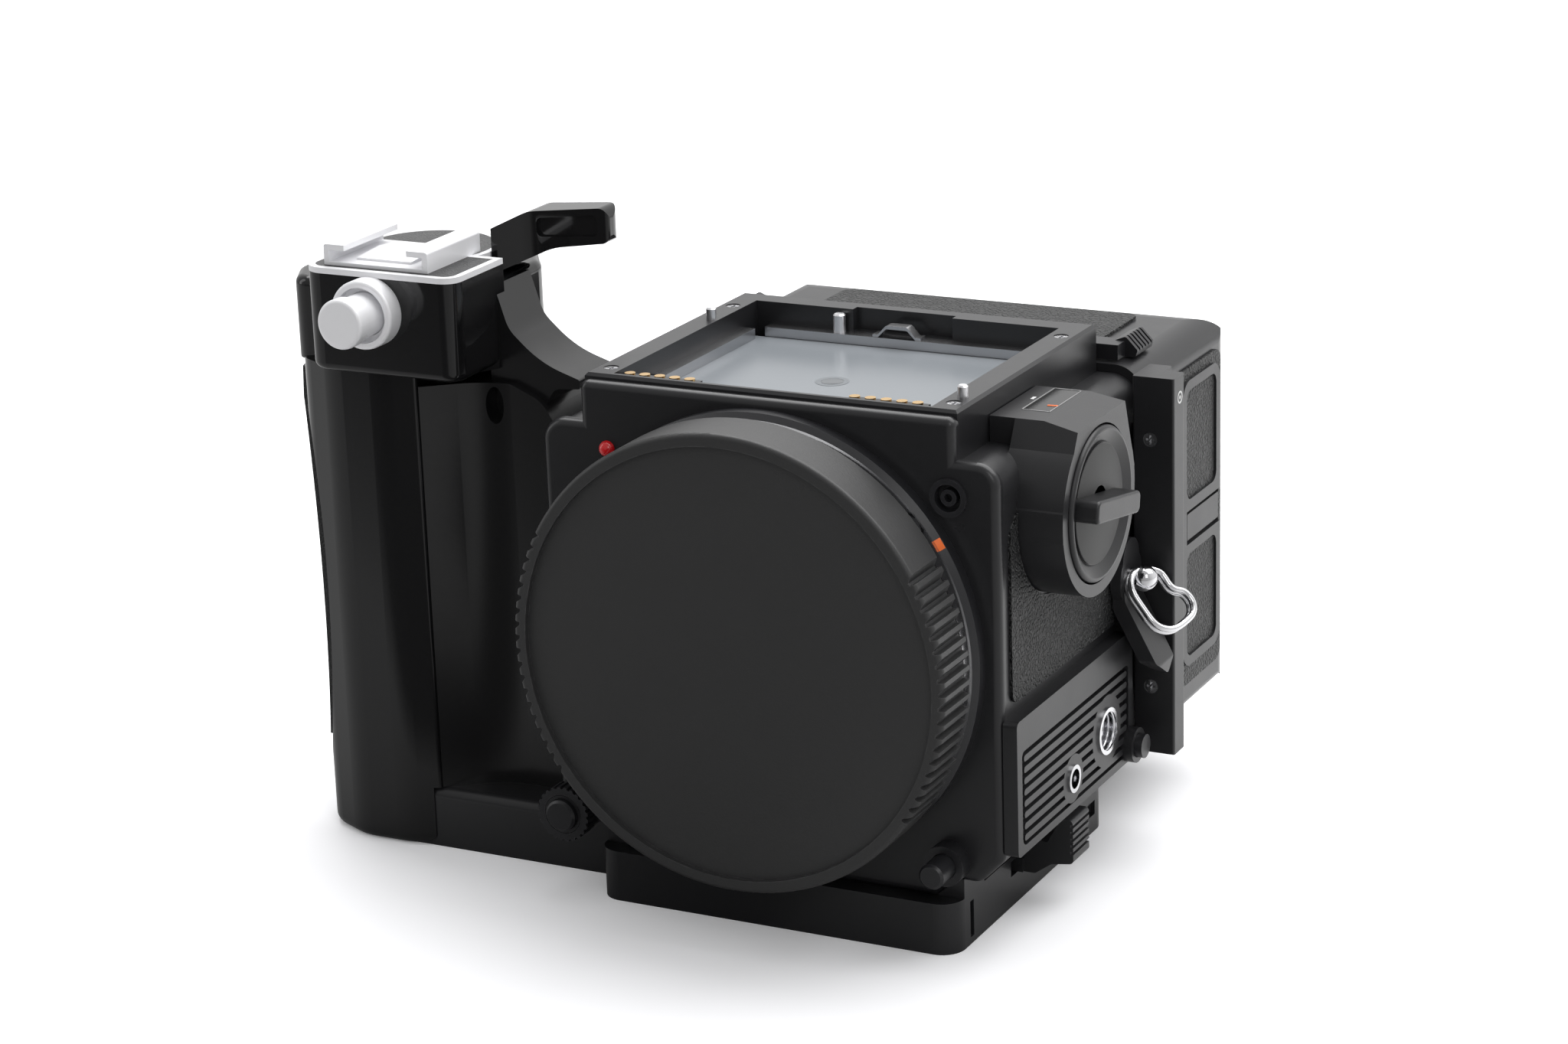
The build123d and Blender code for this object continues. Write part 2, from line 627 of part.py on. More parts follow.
def make_back_frame():
    frame = plate_y(back_outline(), (BODY_BACK, FRAME_END))
    frame -= gate_hole((BODY_BACK, FRAME_END))
    frame -= block((-34, BACK_HALF), grown(SLIDE_Y, 0.1), grown(SLIDE_Z, 0.2))
    bridge = block((22, 29), (60.6, 66.9), (BACK_Z[1], LATCH_ARM[2][1] + 0.9))
    channel = block((22, 29), grown(LATCH_ARM[1], RUN), grown(LATCH_ARM[2], RUN))
    return frame + both_sides(bridge - channel)


def make_dark_slide_sheet():
    return block((-33.6, HANDLE_X[0] + 2), SLIDE_Y, SLIDE_Z)


def make_dark_slide_handle():
    (x0, x1), (y0, y1) = HANDLE_X, HANDLE_Y
    grip = plate_z([(x0, y0, 0.4), (x1, y0, 0.4), (x1, y1, 0.6), (x0 + 4, y1), (x0 + 4, 62.4, 0.4), (x0, 62.4)],
                   HANDLE_Z)
    grip -= block((x0, x0 + 2), SLIDE_Y, SLIDE_Z)
    for z in SLIDE_SCREW_Z:
        grip -= rod_y(SLIDE_SCREW_R, (y0, y0 + 1), x0 + 3.2, z)
    return grip


def make_dark_slide_screws():
    x, y = HANDLE_X[0] + 3.2, HANDLE_Y[0]
    screws = []
    for z in SLIDE_SCREW_Z:
        head = rod_y(SLIDE_SCREW_R, (y + 0.1, y + 1), x, z)
        slot = block((x - 0.2, x + 0.2), (y, y + 0.6), (z - 0.8, z + 0.8))
        slot += block((x - 0.8, x + 0.8), (y, y + 0.6), (z - 0.2, z + 0.2))
        screws.append(head - slot)
    return Part() + screws


def make_back_shell():
    shell = plate_y(back_outline(), (FRAME_END, SHELL_END)) & back_envelope()
    front, rear = FRAME_END + 2.5, BACK_END - 2.5
    shell -= plate_x([(front, 19.3), (rear, 19.3), (rear, 82, ROUND_INSIDE), (front, 82)],
                     (-SHELL_ROOM_X, SHELL_ROOM_X))
    shell -= gate_hole((FRAME_END, FRAME_END + 2.5))
    y, z = DOOR_AXIS
    knuckle = block((DOOR_KNUCKLE_X, BACK_HALF), (SHELL_END, y), (BACK_Z[0], z + KNUCKLE_R))
    knuckle += rod_x(KNUCKLE_R, (DOOR_KNUCKLE_X, BACK_HALF), y, z)
    knuckle &= back_plan()
    knuckle -= rod_x(DOOR_PIN_R + RUN, (DOOR_KNUCKLE_X, DOOR_KNUCKLE_X + 3.5), y, z)
    shell += both_sides(knuckle)
    shell -= rod_x(SPINDLE_R + RUN, (-BACK_HALF, -SHELL_ROOM_X), SPOOL_Y, TAKEUP_Z)
    return shell


def make_back_door():
    y, z = DOOR_AXIS
    high = BACK_Z[1]
    door = plate_y([(BACK_HALF, z), (BACK_HALF, high, 5), (-BACK_HALF, high, 5), (-BACK_HALF, z)],
                   (y - DOOR_R, BACK_END))
    door &= back_envelope()
    door += rod_x(DOOR_R, (-DOOR_KNUCKLE_X + GAP, DOOR_KNUCKLE_X - GAP), y, z)
    notch = block((DOOR_KNUCKLE_X - GAP, BACK_HALF), (SHELL_END, BACK_END), (BACK_Z[0], z + KNUCKLE_R + GAP))
    door -= both_sides(notch)
    return door + rod_x(DOOR_PIN_R, (-DOOR_KNUCKLE_X - 3, DOOR_KNUCKLE_X + 3), y, z)


TRIM_OUTER = ((77.0, 95.5), (24.5, 77.5))
UPPER_PANEL = ((78.9, 93.6), (55.6, 75.7))
LOWER_PANEL = ((78.9, 93.6), (26.3, 45.6))
LABEL_SLOT = ((78.9, 95.5), (47.4, 53.6))
LABEL = ((79.6, 95.0), (48.1, 52.9))


def side_plate(limits, corner, x):
    (y0, y1), (z0, z1) = limits
    return plate_x([(y0, z0, corner), (y1, z0, corner), (y1, z1, corner), (y0, z1, corner)], x)


def make_back_trims():
    x = (BACK_HALF, BACK_HALF + 0.9)
    trim = side_plate(TRIM_OUTER, 3.5, x)
    trim -= side_plate(UPPER_PANEL, 2, x)
    trim -= side_plate(LOWER_PANEL, 2, x)
    trim -= side_plate(LABEL_SLOT, 0, x)
    label = side_plate(LABEL, 0.3, (x[0], x[0] + 0.7))
    trims = []
    for shape in list(trim.solids()) + [label]:
        trims += [shape, mirror(shape, about=Plane.YZ)]
    return Part() + trims


def make_back_leathers():
    x = (BACK_HALF, BACK_HALF + SKIN)
    border = side_plate(((72.5, 96.7), (20.9, 79.5)), 2.5, x) - side_plate(TRIM_OUTER, 3.5, x)
    upper = side_plate(UPPER_PANEL, 2, x)
    lower = side_plate(LOWER_PANEL, 2, x)
    right = [border, upper, lower]
    left = [mirror(shape, about=Plane.YZ) for shape in right]
    shaft_hole = rod_x(3.2, (-BACK_HALF - SKIN, -BACK_HALF), SPOOL_Y, TAKEUP_Z)
    left = [shape - shaft_hole for shape in left]
    top = plate_z([(-29, 72, 2), (29, 72, 2), (29, 91.5, 2), (-29, 91.5, 2)], (BACK_Z[1], BACK_Z[1] + SKIN))
    return Part() + right + left + [top]


def make_latch():
    arm = block(*LATCH_ARM)
    x, low = LATCH_ARM[0][1], LATCH_ARM[2][0]
    thumb = plate_y([(x - 2, low), (x + 2, low, 0.3), (x + 2.4, low + 1.2, 0.3), (x + 0.2, low + 3.5, 0.6),
                     (x - 2, low + 2.6)], (64.6, 72))
    for step in range(5):
        y = 65.4 + 1.35 * step
        thumb -= plate_y([(x + 3.2, low + 1.0), (x + 0.1, low + 4.3), (x - 0.4, low + 3.7),
                          (x + 2.6, low + 0.6)], (y, y + 0.6))
    return arm + thumb


def make_film_insert():
    x = (SHELL_ROOM_X - 2, SHELL_ROOM_X)
    side = plate_x([(72.5, 20.5), (98.5, 20.5), (98.5, 81, ROUND_INSIDE - 0.5), (72.5, 81)], x)
    side -= rod_x(SPINDLE_R + RUN, x, SPOOL_Y, SUPPLY_Z)
    side -= rod_x(SPINDLE_R + RUN, x, SPOOL_Y, TAKEUP_Z)
    wall = block((-x[0], x[0]), (73, 74.6), (22, 79))
    return both_sides(side) + wall


def make_pressure_plate():
    plate = block((-30, 30), (71.3, 72.6), (27, 75))
    for x in (-20, 20):
        for z in (35, 67):
            plate += rod_y(2, (72.6, 73), x, z)
    return plate


SPOOL_HALF = SHELL_ROOM_X - 8.0
CORE_R = 4.5
KNOB_R = 6.5
KNOB_X = (-BACK_HALF - 5.0, -BACK_HALF - 1.3)


def spool(z):
    core = rod_x(CORE_R, (-SPOOL_HALF, SPOOL_HALF), SPOOL_Y, z)
    flange = rod_x(12.2, (SPOOL_HALF, SPOOL_HALF + 1.5), SPOOL_Y, z)
    spindle = rod_x(SPINDLE_R, (SPOOL_HALF + 1.5, SHELL_ROOM_X - GAP), SPOOL_Y, z)
    return core + both_sides(flange + spindle)


def make_takeup_spool():
    return spool(TAKEUP_Z) + rod_x(SPINDLE_R, (KNOB_X[0], -SHELL_ROOM_X + 1), SPOOL_Y, TAKEUP_Z)


def make_film_wind_knob():
    knob = ring_x(KNOB_R, SPINDLE_R, KNOB_X, SPOOL_Y, TAKEUP_Z)
    for step in range(18):
        angle = 2 * pi * step / 18
        knob -= rod_x(0.5, KNOB_X, SPOOL_Y + KNOB_R * cos(angle), TAKEUP_Z + KNOB_R * sin(angle))
    return knob


def make_film_roll():
    return ring_x(10.6, CORE_R, (0.2 - SPOOL_HALF, SPOOL_HALF - 0.2), SPOOL_Y, SUPPLY_Z)


# Base plate with the bar to the grip, tripod bush and lock slide
BASE_TOP = 9.0
BASE_X = (8.3 - BODY_HALF, BODY_HALF - 7.6)
BASE_Y = (-3.0, 62.0)
BAR_X = (-76.2, BASE_X[0])
BAR_Y = (6.5, 50.0)
BAR_TOP = 11.0
BUSH_R = 6.0
TRIPOD_R = 2.6
TRIPOD_DEEP = 6.6
LOCK_PLATE = ((BASE_X[1] - 11.9, BASE_X[1] + 1.1), (22.5, 31.5), (5.5, 8.0))


def make_base_plate():
    (x0, x1), (y0, y1) = BASE_X, BASE_Y
    base = plate_z([(x0, y0, 4), (x1, y0, 4), (x1, y1, 4), (x0, y1, 4)], (0, BASE_TOP))
    foot = BODY_FOOT[0][0]
    base += plate_y([(foot, BASE_TOP), (foot, 8), (x1, 8), (x1, 12.4), (foot + 4, 12.4)], (1, 9))
    base += plate_y([(-foot, BASE_TOP), (-foot, 8), (x0, 8), (x0, 12.4), (-foot - 4, 12.4)], (1, 9))
    bar = block(BAR_X, BAR_Y, (0, BAR_TOP))
    bar = fillet(bar.edges().filter_by(Axis.X).group_by(Axis.Z)[-1].sort_by(Axis.Y)[0], 1.8)
    base += bar
    base -= plate_y(body_outline(BODY_TOP, BODY_HALF, BODY_ROUND), (0, BODY_BACK))
    base -= rod_z(BUSH_R, (0, 7.5), 0, TRIPOD_DEPTH)
    cavity = block((LOCK_PLATE[0][0] - 2, x1), (20, 40), grown(LOCK_PLATE[2], 0.1))
    base -= cavity
    base -= block((x1 - 0.8, x1), (45, 57), (3.2, 5.8))
    base -= block((x1 - 0.8, x1), (3.2, 4.6), (1.2, 7.6))
    return base


def make_tripod_bush():
    return rod_z(BUSH_R, (0, 7.5), 0, TRIPOD_DEPTH) - rod_z(TRIPOD_R, (0, TRIPOD_DEEP), 0, TRIPOD_DEPTH)


def make_lock_slide():
    plate = block(*LOCK_PLATE)
    x0, x1 = BASE_X[1] + 0.5, BASE_X[1] + 10.1
    foot = plate_y([(x0, 5.5), (x0 + 2.6, 5.5, 1), (x1 - 4, 7.6, 1), (x1, 8.2, 0.8), (x1, 16.0, 0.8),
                    (x1 - 2.2, 16.0, 0.5), (x1 - 4.6, 11.5, 0.5), (x0, 11.5, 0.5)], (23, 30))
    for step in range(5):
        z = 9.8 + 1.2 * step
        foot -= block((x1 - 0.5, x1), (23, 30), (z, z + 0.55))
    return plate + foot


# Speed grip: handle in two halves, top box, coupling housing
HANDLE_TOP = 87.3
HEAD_REAR_BOTTOM = 86.8
BOX_X = (-89.0, -58.5)
BOX_Y = (2.0, 18.5)
BOX_CORNERS = (4.0, 3.0)
HUB_FLOOR = 101.5
HUB_R = 12.8
LEVER_TOP = 104.3
LEVER_TIP = -42.4
PLATE_SKIN = 105.2
SHOE_FLOOR = 105.6
HOUSING_Y = (14.5, 32.0)
HOUSING_X = (-70.0, -BODY_HALF - 1.8)
HANDLE_PLAN = [(HOUSING_X[0], 6.8, 0.8), (-76, 4.6, 12), (-86, 4.6, 10), (-94, 8.5, 7), (-98, 16, 8),
               (-98, 38, 9), (-90, 48, 8), (-75, 49, 6), (HOUSING_X[0], 42, 4)]
HANDLE_WALL = 2.2
HANDLE_ROOM_X = HOUSING_X[0] - HANDLE_WALL
HANDLE_ROOM_Z = (5.0, 86.0)
WAIST_R = 300.0
WAIST_DEPTH = 1.8
WAIST_Z = 46.0
WAIST_TURN = 27.0
WAIST_FACE = 79.95


def waist(grow):
    """The long hollow that narrows the handle's outer side at mid height."""
    turn = radians(WAIST_TURN)
    reach = WAIST_FACE + grow + WAIST_R - WAIST_DEPTH
    place = Pos(-reach * cos(turn), -reach * sin(turn), WAIST_Z)
    return place * Rot(0, 0, WAIST_TURN) * Rot(90, 0, 0) * Cylinder(WAIST_R, 160)


def handle_solid():
    handle = plate_z(HANDLE_PLAN, (0, HANDLE_TOP))
    return fillet(handle.edges().group_by(Axis.Z)[0], 2.0) - waist(0)


def handle_room():
    """The space inside the handle, one wall thickness in from its outside."""
    low, high = HANDLE_ROOM_Z
    plan = offset(outline(HANDLE_PLAN), -HANDLE_WALL)
    return extrude(Plane.XY.offset(low) * plan, amount=high - low) - waist(-HANDLE_WALL)


def top_box_solid():
    (x0, x1), (y0, y1) = BOX_X, BOX_Y
    left, right = BOX_CORNERS
    box = plate_z([(x0, y0, left), (x1, y0, right), (x1, y1), (x0, y1)], (HANDLE_TOP, GRIP_TOP))
    box = fillet(box.edges().group_by(Axis.Z)[0], 1.4)
    rear = plate_z([(-88, 9), (-95.5, 9.6, 4), (-99.2, 16.5, 5), (-99.2, 38, 9), (-90, 47.5, 8), (-68, 46, 8),
                    (-60, 34, 6), (x1, y1 - 3), (x1 - 4, 9)], (HEAD_REAR_BOTTOM, HUB_FLOOR))
    rear = fillet(rear.edges().group_by(Axis.Z)[-1], 1.6)
    return box + rear


def make_grip():
    grip = handle_solid() + top_box_solid()
    x, y = LEVER_AXIS
    grip -= handle_room()
    grip -= block((-86, -62), (13, 31), (85, 98.7))
    grip -= rod_z(HUB_R + GAP, (HUB_FLOOR, GRIP_TOP), x, y)
    grip -= block((x - HUB_R - GAP, x + HUB_R + GAP), (y, y + 20), (HUB_FLOOR, GRIP_TOP))
    grip -= rod_z(3 + RUN, (98.7, HUB_FLOOR), x, y)
    grip -= rod_y(TRIGGER_STEM_R + RUN, (BOX_Y[0], 13), *TRIGGER)
    grip -= rod_x(8, (-80, HOUSING_X[0]), *SHAFT_AXIS)
    grip -= block((BAR_X[0] - 0.1, -40), (BAR_Y[0] - 0.2, 60), (0, BAR_TOP))
    bearing = block((-80.4, HANDLE_ROOM_X), (18, 27), (63, 67)) - rod_z(3 + RUN, (63, 67), x, y)
    return grip + bearing


def make_grip_inner_shell():
    return make_grip() & block((HANDLE_SEAM, 0), (-10, 60), (-1, 120))


def make_grip_outer_shell():
    return make_grip() & block((-120, HANDLE_SEAM), (-10, 60), (-1, 120))


def make_grip_pad():
    plan = outline(HANDLE_PLAN)
    wrap = extrude(Plane.XY.offset(15) * offset(plan, 1.0), amount=69)
    arc_r = 102
    front_y = 8.0
    wrap -= waist(1.0)
    side = rod_x(arc_r, (-110, -91.5), front_y + arc_r, 49.5) & block((-110, -91.5), (0, 43), (15, 84))
    return (wrap & side) - handle_solid() - top_box_solid()


def top_plate_outline(margin):
    (x0, x1), (y0, y1) = BOX_X, BOX_Y
    left, right = BOX_CORNERS
    front = outline([(x0 + margin, y0 + margin, left - margin), (x1 - margin, y0 + margin, right - margin),
                     (x1 - margin, y1 - margin), (x0 + margin, y1 - margin)])
    return front + Pos(*LEVER_AXIS) * Circle(HUB_R - margin)


def make_top_plate():
    plate = extrude(Plane.XY.offset(GRIP_TOP) * top_plate_outline(0), amount=SHOE_FLOOR - GRIP_TOP)
    plate -= extrude(Plane.XY.offset(PLATE_SKIN) * top_plate_outline(1.2), amount=SHOE_FLOOR - PLATE_SKIN)
    return plate + rod_z(8, (102.8, GRIP_TOP), *LEVER_AXIS)


def make_top_skin():
    return extrude(Plane.XY.offset(PLATE_SKIN) * top_plate_outline(1.2), amount=SHOE_FLOOR - PLATE_SKIN)


SHOE_X = -75.05
SHOE_HALF = 10.35
SHOE_SLOT_HALF = 9.3
SHOE_NECK_HALF = 6.25
SHOE_Y = (4.3, 21.5)
SHOE_Z = (SHOE_FLOOR, SHOE_FLOOR + 0.6, SHOE_FLOOR + 2.6, SHOE_FLOOR + 3.6)


def make_accessory_shoe():
    floor, slot_low, slot_high, top = SHOE_Z
    rails = plate_y([(-SHOE_HALF, floor), (SHOE_HALF, floor), (SHOE_HALF, top, 0.5),
                     (SHOE_NECK_HALF, top), (SHOE_NECK_HALF, slot_high), (SHOE_SLOT_HALF, slot_high),
                     (SHOE_SLOT_HALF, slot_low), (-SHOE_SLOT_HALF, slot_low), (-SHOE_SLOT_HALF, slot_high),
                     (-SHOE_NECK_HALF, slot_high), (-SHOE_NECK_HALF, top), (-SHOE_HALF, top, 0.5)], SHOE_Y)
    spring = plate_x([(7, slot_low), (20, slot_low), (20, slot_low + 0.4), (14, slot_low + 0.9, 4),
                      (7, slot_low + 0.4)], (-5.5, 5.5))
    return Pos(SHOE_X, 0, 0) * pieces(rails, spring)


TRIGGER = (-75.0, 98.8)
TRIGGER_R = 4.35
TRIGGER_STEM_R = 3.8
TRIGGER_COLLAR_R = 6.0


def make_trigger_collar():
    cup_r = TRIGGER_R + 0.5
    collar = ring_y(TRIGGER_COLLAR_R, cup_r, (-1.5, BOX_Y[0]), *TRIGGER)
    rim = collar.edges().filter_by(GeomType.CIRCLE).group_by(Axis.Y)[0].sort_by(SortBy.RADIUS)[-1]
    return fillet(rim, 0.6) + ring_y(cup_r, TRIGGER_STEM_R + RUN, (0.2, BOX_Y[0]), *TRIGGER)


def make_trigger_button():
    head = rod_y(TRIGGER_R, (-8.2, -5.8), *TRIGGER)
    head = fillet(head.edges().filter_by(GeomType.CIRCLE).group_by(Axis.Y)[0], 0.7)
    return head + rod_y(TRIGGER_STEM_R, (-5.8, 5), *TRIGGER)


def make_advance_lever():
    x, y = LEVER_AXIS
    cup = rod_z(HUB_R - 0.1, (HUB_FLOOR + 0.2, LEVER_TOP), x, y)
    cup -= rod_z(8 + RUN, (102.6, LEVER_TOP), x, y)
    cup -= rod_z(3, (HUB_FLOOR, 102.6), x, y)
    silhouette = plate_y([(-68, HUB_FLOOR + 0.2), (-62.5, HUB_FLOOR + 0.2, 2), (-53, 106, 12),
                          (LEVER_TIP, 107.4, 1.4), (LEVER_TIP, 113.6, 1.8), (-57.6, 112.2, 5), (-69, 106.5),
                          (-69, HUB_FLOOR + 0.2)], (15, 45))
    plan = plate_z([(-66, 20), (-62.5, 22, 2), (-57, 26, 6), (LEVER_TIP, 27.2, 0.8), (LEVER_TIP, 32.2, 3.5),
                    (-59, 33.4, 8), (-69, 31)], (95, 120))
    arm = silhouette & plan
    arm -= rod_z(HUB_R + 0.2, (LEVER_TOP, 120), x, y)
    arm -= rod_z(HUB_R - 2, (95, 120), x, y)
    recess = plate_y([(-56, 107.8, 1), (-44.5, 108.5, 1), (-44.5, 112.3, 1), (-56, 111.1, 1)], (20, 30))
    recess &= plate_z([(-60, 20), (-40, 20), (-40, 28.2), (-60, 26.6)], (100, 120))
    return cup + arm - recess


GEAR_OUT = 6.0
GEAR_IN = 2.6
GEAR_GAP = 0.45
GEAR_TEETH = 14


def bevel_gear():
    """A bevel gear on the z axis whose cone points at the origin."""
    length = GEAR_OUT - GEAR_IN
    cone = Pos(0, 0, (GEAR_OUT + GEAR_IN) / 2) * Cone(GEAR_IN - GEAR_GAP, GEAR_OUT - GEAR_GAP, length)
    slots = []
    for tooth in range(GEAR_TEETH):
        slot = Rot(0, 45, 0) * Pos(0, 0, 6) * Box(0.5, 0.5, 12)
        slots.append(Rot(0, 0, 360 * tooth / GEAR_TEETH) * Pos(-GEAR_GAP, 0, 0) * slot)
    return cone - slots


def make_lever_shaft():
    x, y = LEVER_AXIS
    z = SHAFT_AXIS[1]
    return rod_z(3, (z + GEAR_OUT, 102.6), x, y) + Pos(x, y, z) * bevel_gear()


def make_coupling_shaft():
    x, y = LEVER_AXIS
    z = SHAFT_AXIS[1]
    end = -DRUM_X[0]
    shaft = rod_x(4, (x + GEAR_OUT, end), y, z) + Pos(x, y, z) * Rot(0, 90, 0) * bevel_gear()
    return shaft + rod_x(7, (-DRUM_X[1], end), y, z)


def make_coupling_housing():
    (x0, x1), (y0, y1) = HOUSING_X, HOUSING_Y
    profile = plate_y([(x0 - 2, BAR_TOP), (x1, BAR_TOP), (x1, 72, 3), (-50, 82, 6), (-56, 84.5),
                       (x0 - 2, 84.5)], (0, y1))
    plan = plate_z([(x0 - 2, 7.3), (x0, 7.3), (x0 + 9, y0, 14), (x1, y0, 1.5), (x1, y1), (x0 - 2, y1)],
                   (BAR_TOP, 84.5))
    housing = profile & plan
    flare = plate_y([(-60.5, 81), (-50, 81), (-48, 84, 2), (x1 + 0.3, 84.4, 0.4), (x1 + 0.3, 86.0, 0.6),
                     (-50.6, 88.4, 20), (-56.6, 93.8, 6), (-59.0, 101.3), (-60.5, 101.3)], (y0 + 1.5, y1 - 4))
    housing += flare
    housing += rod_x(11, (x1, -BODY_HALF), *SHAFT_AXIS)
    housing -= block((x0 + 2, x1 - 2.5), (y0 + 3, y1 - 3), (BAR_TOP + 3, 76))
    housing -= rod_x(8.5, (x0 - 2, x0 + 3), *SHAFT_AXIS)
    housing -= rod_x(4 + RUN, (x0, -BODY_HALF), *SHAFT_AXIS)
    hole = Pos(-59, y0, 80.5) * Rot(90, 0, 0) * extrude(Ellipse(1.6, 3.3), amount=3, both=True)
    return housing - hole - make_grip()


NODES = {
    "body_shell": make_body_shell,
    "front_plate": make_front_plate,
    "mount_ring": make_mount_ring,
    "bayonet_ring": make_bayonet_ring,
    "alignment_dot": make_alignment_dot,
    "body_cap": make_body_cap,
    "mirror_box": make_mirror_box,
    "mirror_carrier": make_mirror_carrier,
    "mirror_glass": make_mirror_glass,
    "light_baffle": make_light_baffle,
    "finder_frame": make_finder_frame,
    "finder_hardware": lambda: pieces(make_finder_screws(), make_finder_pins()),
    "finder_contacts": make_finder_contacts,
    "screen_frame": make_screen_frame,
    "focusing_screen": make_focusing_screen,
    "screen_springs": make_screen_springs,
    "dial_housing": make_dial_housing,
    "dial_window": make_dial_window,
    "shutter_dial": lambda: pieces(make_shutter_dial(), make_dial_leather(), make_speed_drum()),
    "body_leathers": make_body_leathers,
    "side_panel": make_side_panel,
    "accessory_socket": make_accessory_socket,
    "sync_terminal": make_sync_terminal,
    "side_button": make_side_button,
    "remote_socket": make_remote_socket,
    "lens_release_collar": make_lens_release_collar,
    "lens_release_button": make_lens_release_button,
    "release_lock_collar": make_release_lock_collar,
    "release_button": make_release_button,
    "exposure_lever": make_exposure_lever,
    "strap_lug": make_strap_lug,
    "strap_ring": make_strap_ring,
    "back_frame": make_back_frame,
    "dark_slide_sheet": make_dark_slide_sheet,
    "dark_slide_handle": make_dark_slide_handle,
    "dark_slide_screws": make_dark_slide_screws,
    "back_shell": make_back_shell,
    "back_trims": make_back_trims,
    "back_leathers": make_back_leathers,
    "back_door": make_back_door,
    "latch_right": make_latch,
    "latch_left": lambda: mirror(make_latch(), about=Plane.YZ),
    "film_insert": lambda: pieces(make_film_insert(), make_pressure_plate()),
    "takeup_spool": lambda: pieces(make_takeup_spool(), make_film_wind_knob()),
    "supply_spool": lambda: pieces(spool(SUPPLY_Z), make_film_roll()),
    "base_plate": make_base_plate,
    "tripod_bush": make_tripod_bush,
    "lock_slide": make_lock_slide,
    "grip_inner_shell": make_grip_inner_shell,
    "grip_outer_shell": make_grip_outer_shell,
    "grip_pad": make_grip_pad,
    "grip_top_plate": make_top_plate,
    "grip_top_skin": make_top_skin,
    "accessory_shoe": make_accessory_shoe,
    "trigger_collar": make_trigger_collar,
    "trigger_button": make_trigger_button,
    "advance_lever": make_advance_lever,
    "lever_shaft": make_lever_shaft,
    "coupling_shaft": make_coupling_shaft,
    "coupling_housing": make_coupling_housing,
}


def main():
    os.makedirs("parts", exist_ok=True)
    for name, make in NODES.items():
        shape = Pos(0, -TRIPOD_DEPTH, 0) * make()
        export_step(shape, f"parts/{name}.step")
        print(name, round(shape.volume, 1), len(shape.solids()))


if __name__ == "__main__":
    main()
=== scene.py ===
import math

import bmesh
import bpy
from bpy.props import FloatProperty, FloatVectorProperty, PointerProperty
from bpy.types import Operator, Panel, PropertyGroup
from mathutils import Matrix, Vector


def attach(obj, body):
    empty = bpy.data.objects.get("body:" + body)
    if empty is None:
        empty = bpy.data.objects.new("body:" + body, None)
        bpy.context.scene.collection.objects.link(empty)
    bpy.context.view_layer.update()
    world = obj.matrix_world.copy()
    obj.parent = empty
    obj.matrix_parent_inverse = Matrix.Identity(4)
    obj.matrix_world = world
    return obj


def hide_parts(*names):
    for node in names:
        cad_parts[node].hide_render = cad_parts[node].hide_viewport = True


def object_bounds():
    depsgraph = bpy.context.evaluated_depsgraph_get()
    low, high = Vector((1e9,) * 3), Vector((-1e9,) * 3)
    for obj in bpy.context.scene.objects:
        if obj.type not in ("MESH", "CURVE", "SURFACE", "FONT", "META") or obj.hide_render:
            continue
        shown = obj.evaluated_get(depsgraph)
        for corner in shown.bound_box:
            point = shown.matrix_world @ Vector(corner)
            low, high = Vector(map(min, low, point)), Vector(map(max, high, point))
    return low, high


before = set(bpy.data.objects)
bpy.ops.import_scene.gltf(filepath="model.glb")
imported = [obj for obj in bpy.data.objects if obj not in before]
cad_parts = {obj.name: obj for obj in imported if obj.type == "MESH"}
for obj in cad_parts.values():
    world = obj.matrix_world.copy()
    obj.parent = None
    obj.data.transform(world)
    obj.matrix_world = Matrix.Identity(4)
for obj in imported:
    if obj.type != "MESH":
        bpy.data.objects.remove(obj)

bl_info = {
    "name": "Medium format film camera",
    "version": (1, 0, 0),
    "blender": (4, 5, 0),
    "location": "View3D > Sidebar > Film camera",
    "description": "Finishes and detailed pieces for a medium format camera with a speed grip",
    "category": "Object",
}

MM = 0.001
CAD_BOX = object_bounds()


def colour_property(name, description, default):
    return FloatVectorProperty(
        name=name, description=description, default=default, size=3, min=0.0, max=1.0, subtype="COLOR"
    )


def length_property(name, description, default):
    return FloatProperty(name=name, description=description, default=default, unit="LENGTH", subtype="DISTANCE")


class CameraColours(PropertyGroup):
    """Colours of the camera's finishes."""

    paint: colour_property("Black paint", "Satin paint of the body castings", (0.015, 0.015, 0.0165))
    gloss: colour_property("Gloss black", "Polished plastic of the grip", (0.006, 0.006, 0.0065))
    moulded: colour_property("Moulded black", "Matte moulded plastic of the body cap", (0.031, 0.031, 0.0315))
    leather: colour_property("Leather", "Grained covering of the body and back", (0.011, 0.0115, 0.012))
    anodised: colour_property("Black anodised", "Small black metal parts", (0.015, 0.015, 0.017))
    aluminium: colour_property("Satin aluminium", "Shoe and trigger collar", (0.86, 0.86, 0.88))
    chrome: colour_property("Chrome", "Polished bright metal", (0.78, 0.78, 0.8))
    gold: colour_property("Gold contacts", "Plated contacts in the finder well", (0.85, 0.56, 0.24))
    red: colour_property("Red enamel", "Alignment dot on the mount", (0.62, 0.008, 0.012))
    orange: colour_property("Orange paint", "Small index marks", (0.9, 0.16, 0.015))
    white: colour_property("White paint", "Engraved lines and dots", (0.75, 0.75, 0.75))
    glass: colour_property("Ground glass", "Focusing screen", (0.24, 0.26, 0.28))


